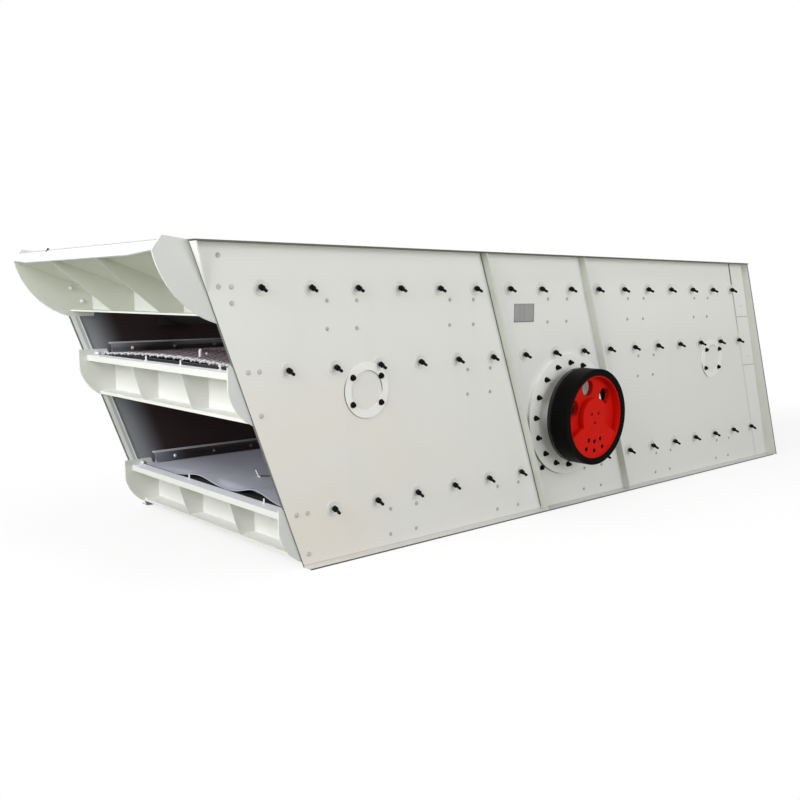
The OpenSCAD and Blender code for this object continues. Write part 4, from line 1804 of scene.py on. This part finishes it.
@dataclass
class Studio:
    """Pale floor, soft light, white background and the camera."""

    spot: Point = (-5.477469, -5.377600, 1.654314)
    yaw: float = 41.34
    pitch: float = 6.85
    focal: float = 887.42
    frame: float = 800.0
    sensor: float = 36.0
    sight: float = 200.0
    world_light: float = 0.30
    floor_size: float = 120.0
    floor_z: float = -0.0005
    ground: Colour = (0.42, 0.44, 0.37)
    pale: Colour = (0.9, 0.9, 0.9)
    shadow_squeeze: float = 0.12
    shadow_span: Pair = (1.5, 9.0)
    shadow_white: float = 0.78
    lamps: tuple[Lamp, ...] = (
        Lamp("left_lamp", (-11.5, -2.1, 5.6), (-1.5, 0.0, 1.0), 8.0, 1300.0),
        Lamp("front_lamp", (1.3, -12.0, 3.2), (1.0, 0.0, 0.9), 9.0, 825.0),
        Lamp("top_lamp", (0.0, -1.0, 9.0), (0.0, 0.0, 0.0), 8.0, 260.0),
        Lamp("back_lamp", (3.0, 12.0, 5.0), (0.0, 0.0, 0.9), 9.0, 480.0),
    )

    def aim(self, obj: Piece, spot: Point, way: Vector) -> None:
        """Sets a lamp or the camera at a spot, looking along a way."""
        obj.location = spot
        obj.rotation_euler = way.to_track_quat("-Z", "Y").to_euler()

    def camera(self) -> None:
        """Sets the camera at the photograph's view."""
        data = bpy.data.cameras.new("camera")
        data.sensor_width = self.sensor
        data.lens = self.focal * self.sensor / self.frame
        data.clip_end = self.sight
        camera = Bench.put("camera", data)
        a, p = math.radians(self.yaw), math.radians(self.pitch)
        way = Vector((math.sin(a) * math.cos(p), math.cos(a) * math.cos(p), -math.sin(p)))
        self.aim(camera, self.spot, way)
        bpy.context.scene.camera = camera

    def seen(self, shader: Shader) -> Sock:
        """Tells rays that show the background from rays that light the object.

        Args:
            shader: The tree that asks.

        Returns:
            1 for camera, glossy and transmission rays.
        """
        path = shader.add("ShaderNodeLightPath", out="Is Camera Ray")
        outputs = path.socket.node.outputs
        others = [Sock(shader, outputs[f"Is {ray} Ray"]) for ray in ("Glossy", "Transmission")]
        return Sock.any_of((path, *others))

    def world(self) -> None:
        """Makes the world white to look at and softer as a light."""
        world = bpy.data.worlds.new("studio")
        world.use_nodes = True
        s = Shader(world.node_tree)
        white = (1, 1, 1, 1)
        light = s.add("ShaderNodeBackground", None, {"Color": white, "Strength": self.world_light})
        shown = s.add("ShaderNodeBackground", None, {"Color": white, "Strength": 1.0})
        mixed = s.add("ShaderNodeMixShader", None, {0: self.seen(s), 1: light, 2: shown})
        s.add("ShaderNodeOutputWorld", None, {"Surface": mixed})
        bpy.context.scene.world = world

    def floor(self) -> None:
        """Makes a floor that looks white, keeps the shadow and throws back little light."""
        Bench.clear()
        bpy.ops.mesh.primitive_plane_add(size=self.floor_size, location=(0, 0, self.floor_z))
        floor = Bench.named("floor")
        made, s = Shader.material("floor")
        path = s.add("ShaderNodeLightPath", out="Is Camera Ray")
        ground = s.add("ShaderNodeBsdfDiffuse", None, {"Color": (*self.ground, 1)})
        pale = s.add("ShaderNodeBsdfDiffuse", None, {"Color": (*self.pale, 1)})
        white = s.add("ShaderNodeEmission", None, {"Color": (1, 1, 1, 1), "Strength": 1.0})
        x, y, _ = s.place()
        away = (x * x * self.shadow_squeeze + y * y).ramp(*self.shadow_span)
        share = away * (1 - self.shadow_white) + self.shadow_white
        shown = s.add("ShaderNodeMixShader", None, {0: share, 1: pale, 2: white})
        mixed = s.add("ShaderNodeMixShader", None, {0: path, 1: ground, 2: shown})
        s.add("ShaderNodeOutputMaterial", None, {"Surface": mixed})
        floor.data.materials.append(made)

    def light(self) -> None:
        """Hangs the soft lamps."""
        for lamp in self.lamps:
            data = bpy.data.lights.new(lamp.name, "AREA")
            data.size = lamp.size
            data.energy = lamp.power
            self.aim(Bench.put(lamp.name, data), lamp.spot, Vector(lamp.target) - Vector(lamp.spot))

    def build(self) -> None:
        """Sets up the whole studio."""
        self.world()
        self.floor()
        self.light()
        self.camera()
        bpy.context.scene.view_settings.view_transform = "Standard"


# Finishes of the slots that have another name than their finish
SLOT_FINISHES: dict[str, str] = {"wire_cloth": "wire_steel"}
# Finishes of the nodes that don't have their slot's finish
NODE_FINISHES: dict[str, str] = {
    "feed_box_cheeks": "feed_box_paint",
    "feed_box_pan": "feed_box_paint",
    "feed_box_ribs": "feed_box_paint",
    "feed_box_strip": "strip_paint",
    "near_bearing": "bearing_paint",
    "far_bearing": "bearing_paint",
    "spring_pads": "pad_paint",
    "feed_end_bars": "end_bar_paint",
    "wall_ribs": "shaded_rib_paint",
    "discharge_end_flanges": "band_paint",
}


def make_finishes(machine: Machine) -> dict[str, bpy.types.Material]:
    """Makes every finish once.

    Args:
        machine: Sizes that some finishes follow.

    Returns:
        The materials by name.
    """
    z = machine.spring_z
    first, last = (machine.x_at(e, z) for e in machine.spring_e)
    # Arcs of painted shade on the spring pads and the exciter's flange.
    pads = (
        Arc(first, z, machine.pad_r, 215.0, 75.0),
        Arc(first, z, machine.pad_ring_r, 45.0, 62.0),
        Arc(last, z, machine.pad_r, 222.0, 34.0),
        Arc(last, z, machine.pad_ring_r, 95.0, 26.0),
    )
    flange = Arc(machine.axis_x, machine.exciter_z, machine.bearing_r, 222.0, 50.0)
    finishes = [
        WallPaint(),
        LipPaint(),
        FeedBoxPaint(),
        DiscPaint("pad_paint", pads, (0.16, 0.16, 0.15)),
        DiscPaint("bearing_paint", (flange,), (0.24, 0.24, 0.225)),
        SatinPaint("cup_paint", (0.64, 0.645, 0.625), (0.57, 0.575, 0.56)),
        # Near-black on the parts deep inside the machine, as painted shade.
        SatinPaint("dark_paint", (0.022, 0.018, 0.019), (0.035, 0.03, 0.03), 0.6),
        # Paint on the wall ribs, darker and greener than the wall as painted shade.
        SatinPaint("shaded_rib_paint", (0.585, 0.60, 0.555), (0.54, 0.555, 0.51)),
        # Wall paint on the beam bolts, made darker as painted shade around their heads.
        SatinPaint("shaded_head_paint", (0.40, 0.40, 0.385), (0.32, 0.32, 0.31)),
        # Near-black strips that stand in for the shade under the cloth's front.
        SatinPaint("rubber", (0.008, 0.007, 0.008), (0.014, 0.013, 0.013), 0.7, 12.0),
        BandPaint(),
        RailPaint(),
        EndBarPaint(),
        StripPaint(),
        # Near-black strip at the first rib's root, as painted shadow.
        SatinPaint("rib_shadow_black", (0.060, 0.062, 0.050), (0.13, 0.135, 0.115), 0.6, 1.0),
        WebPaint(),
        RimPaint(),
        Steel("black_bolt", (0.003, 0.003, 0.003), (0.006, 0.005, 0.005), 0.5, 0.0, gloss=0.08),
        Steel("dull_bolt", (0.46, 0.46, 0.44), (0.30, 0.295, 0.28), 0.42, 0.1),
        Steel("zinc", (0.78, 0.78, 0.79), (0.62, 0.62, 0.62), 0.3, 0.35, 0.3),
        Steel("bright_steel", (0.62, 0.62, 0.63), (0.40, 0.39, 0.38), 0.25, 0.9, 0.3),
        WovenWire(),
        WovenWire("rail_head", bright_e=(0.40, 0.60)),
        WovenWire("rod_steel", dull=(0.035, 0.03, 0.035), bright_e=(0.4395, 0.446)),
        FineCloth(),
        PlateMetal(),
    ]
    return {finish.name: finish.make(machine) for finish in finishes}


def paint_nodes(frame: Mapping[str, object], finishes: Mapping[str, bpy.types.Material]) -> None:
    """Gives every CAD node its own finish, or that of its material slot.

    Args:
        finishes: The materials by name.
    """
    for part in frame["record"]["subparts"]:
        node, slot = frame["nodes"][part["node"]], part["material_slot"]
        node.data.materials.clear()
        finish = NODE_FINISHES.get(part["node"], SLOT_FINISHES.get(slot, slot))
        node.data.materials.append(finishes[finish])


def main() -> None:
    """Loads the frame, dresses it and sets up the studio."""
    logging.basicConfig(level=logging.INFO, format="%(name)s: %(message)s")
    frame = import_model()
    machine = Machine()
    dressing = Dressing(machine, make_finishes(machine))
    paint_nodes(frame, dressing.finishes)
    TensionBolts(dressing).build()
    WallBolts(dressing).build()
    BarePlate(dressing).build()
    top_start = machine.feed_back + machine.cloth_gap - machine.x_mid
    WovenDeck(dressing, Deck.TOP, top_start, pitch=0.080, wire_r=0.007).build()
    middle_start = machine.cloth_ends(Deck.MIDDLE)[0]
    WovenDeck(dressing, Deck.MIDDLE, middle_start, pitch=0.057, wire_r=0.006).build()
    FineDeck(dressing).build()
    FeedFittings(dressing).build()
    RibShadowStrips(dressing).build()
    Studio().build()


if __name__ == "__main__":
    main()
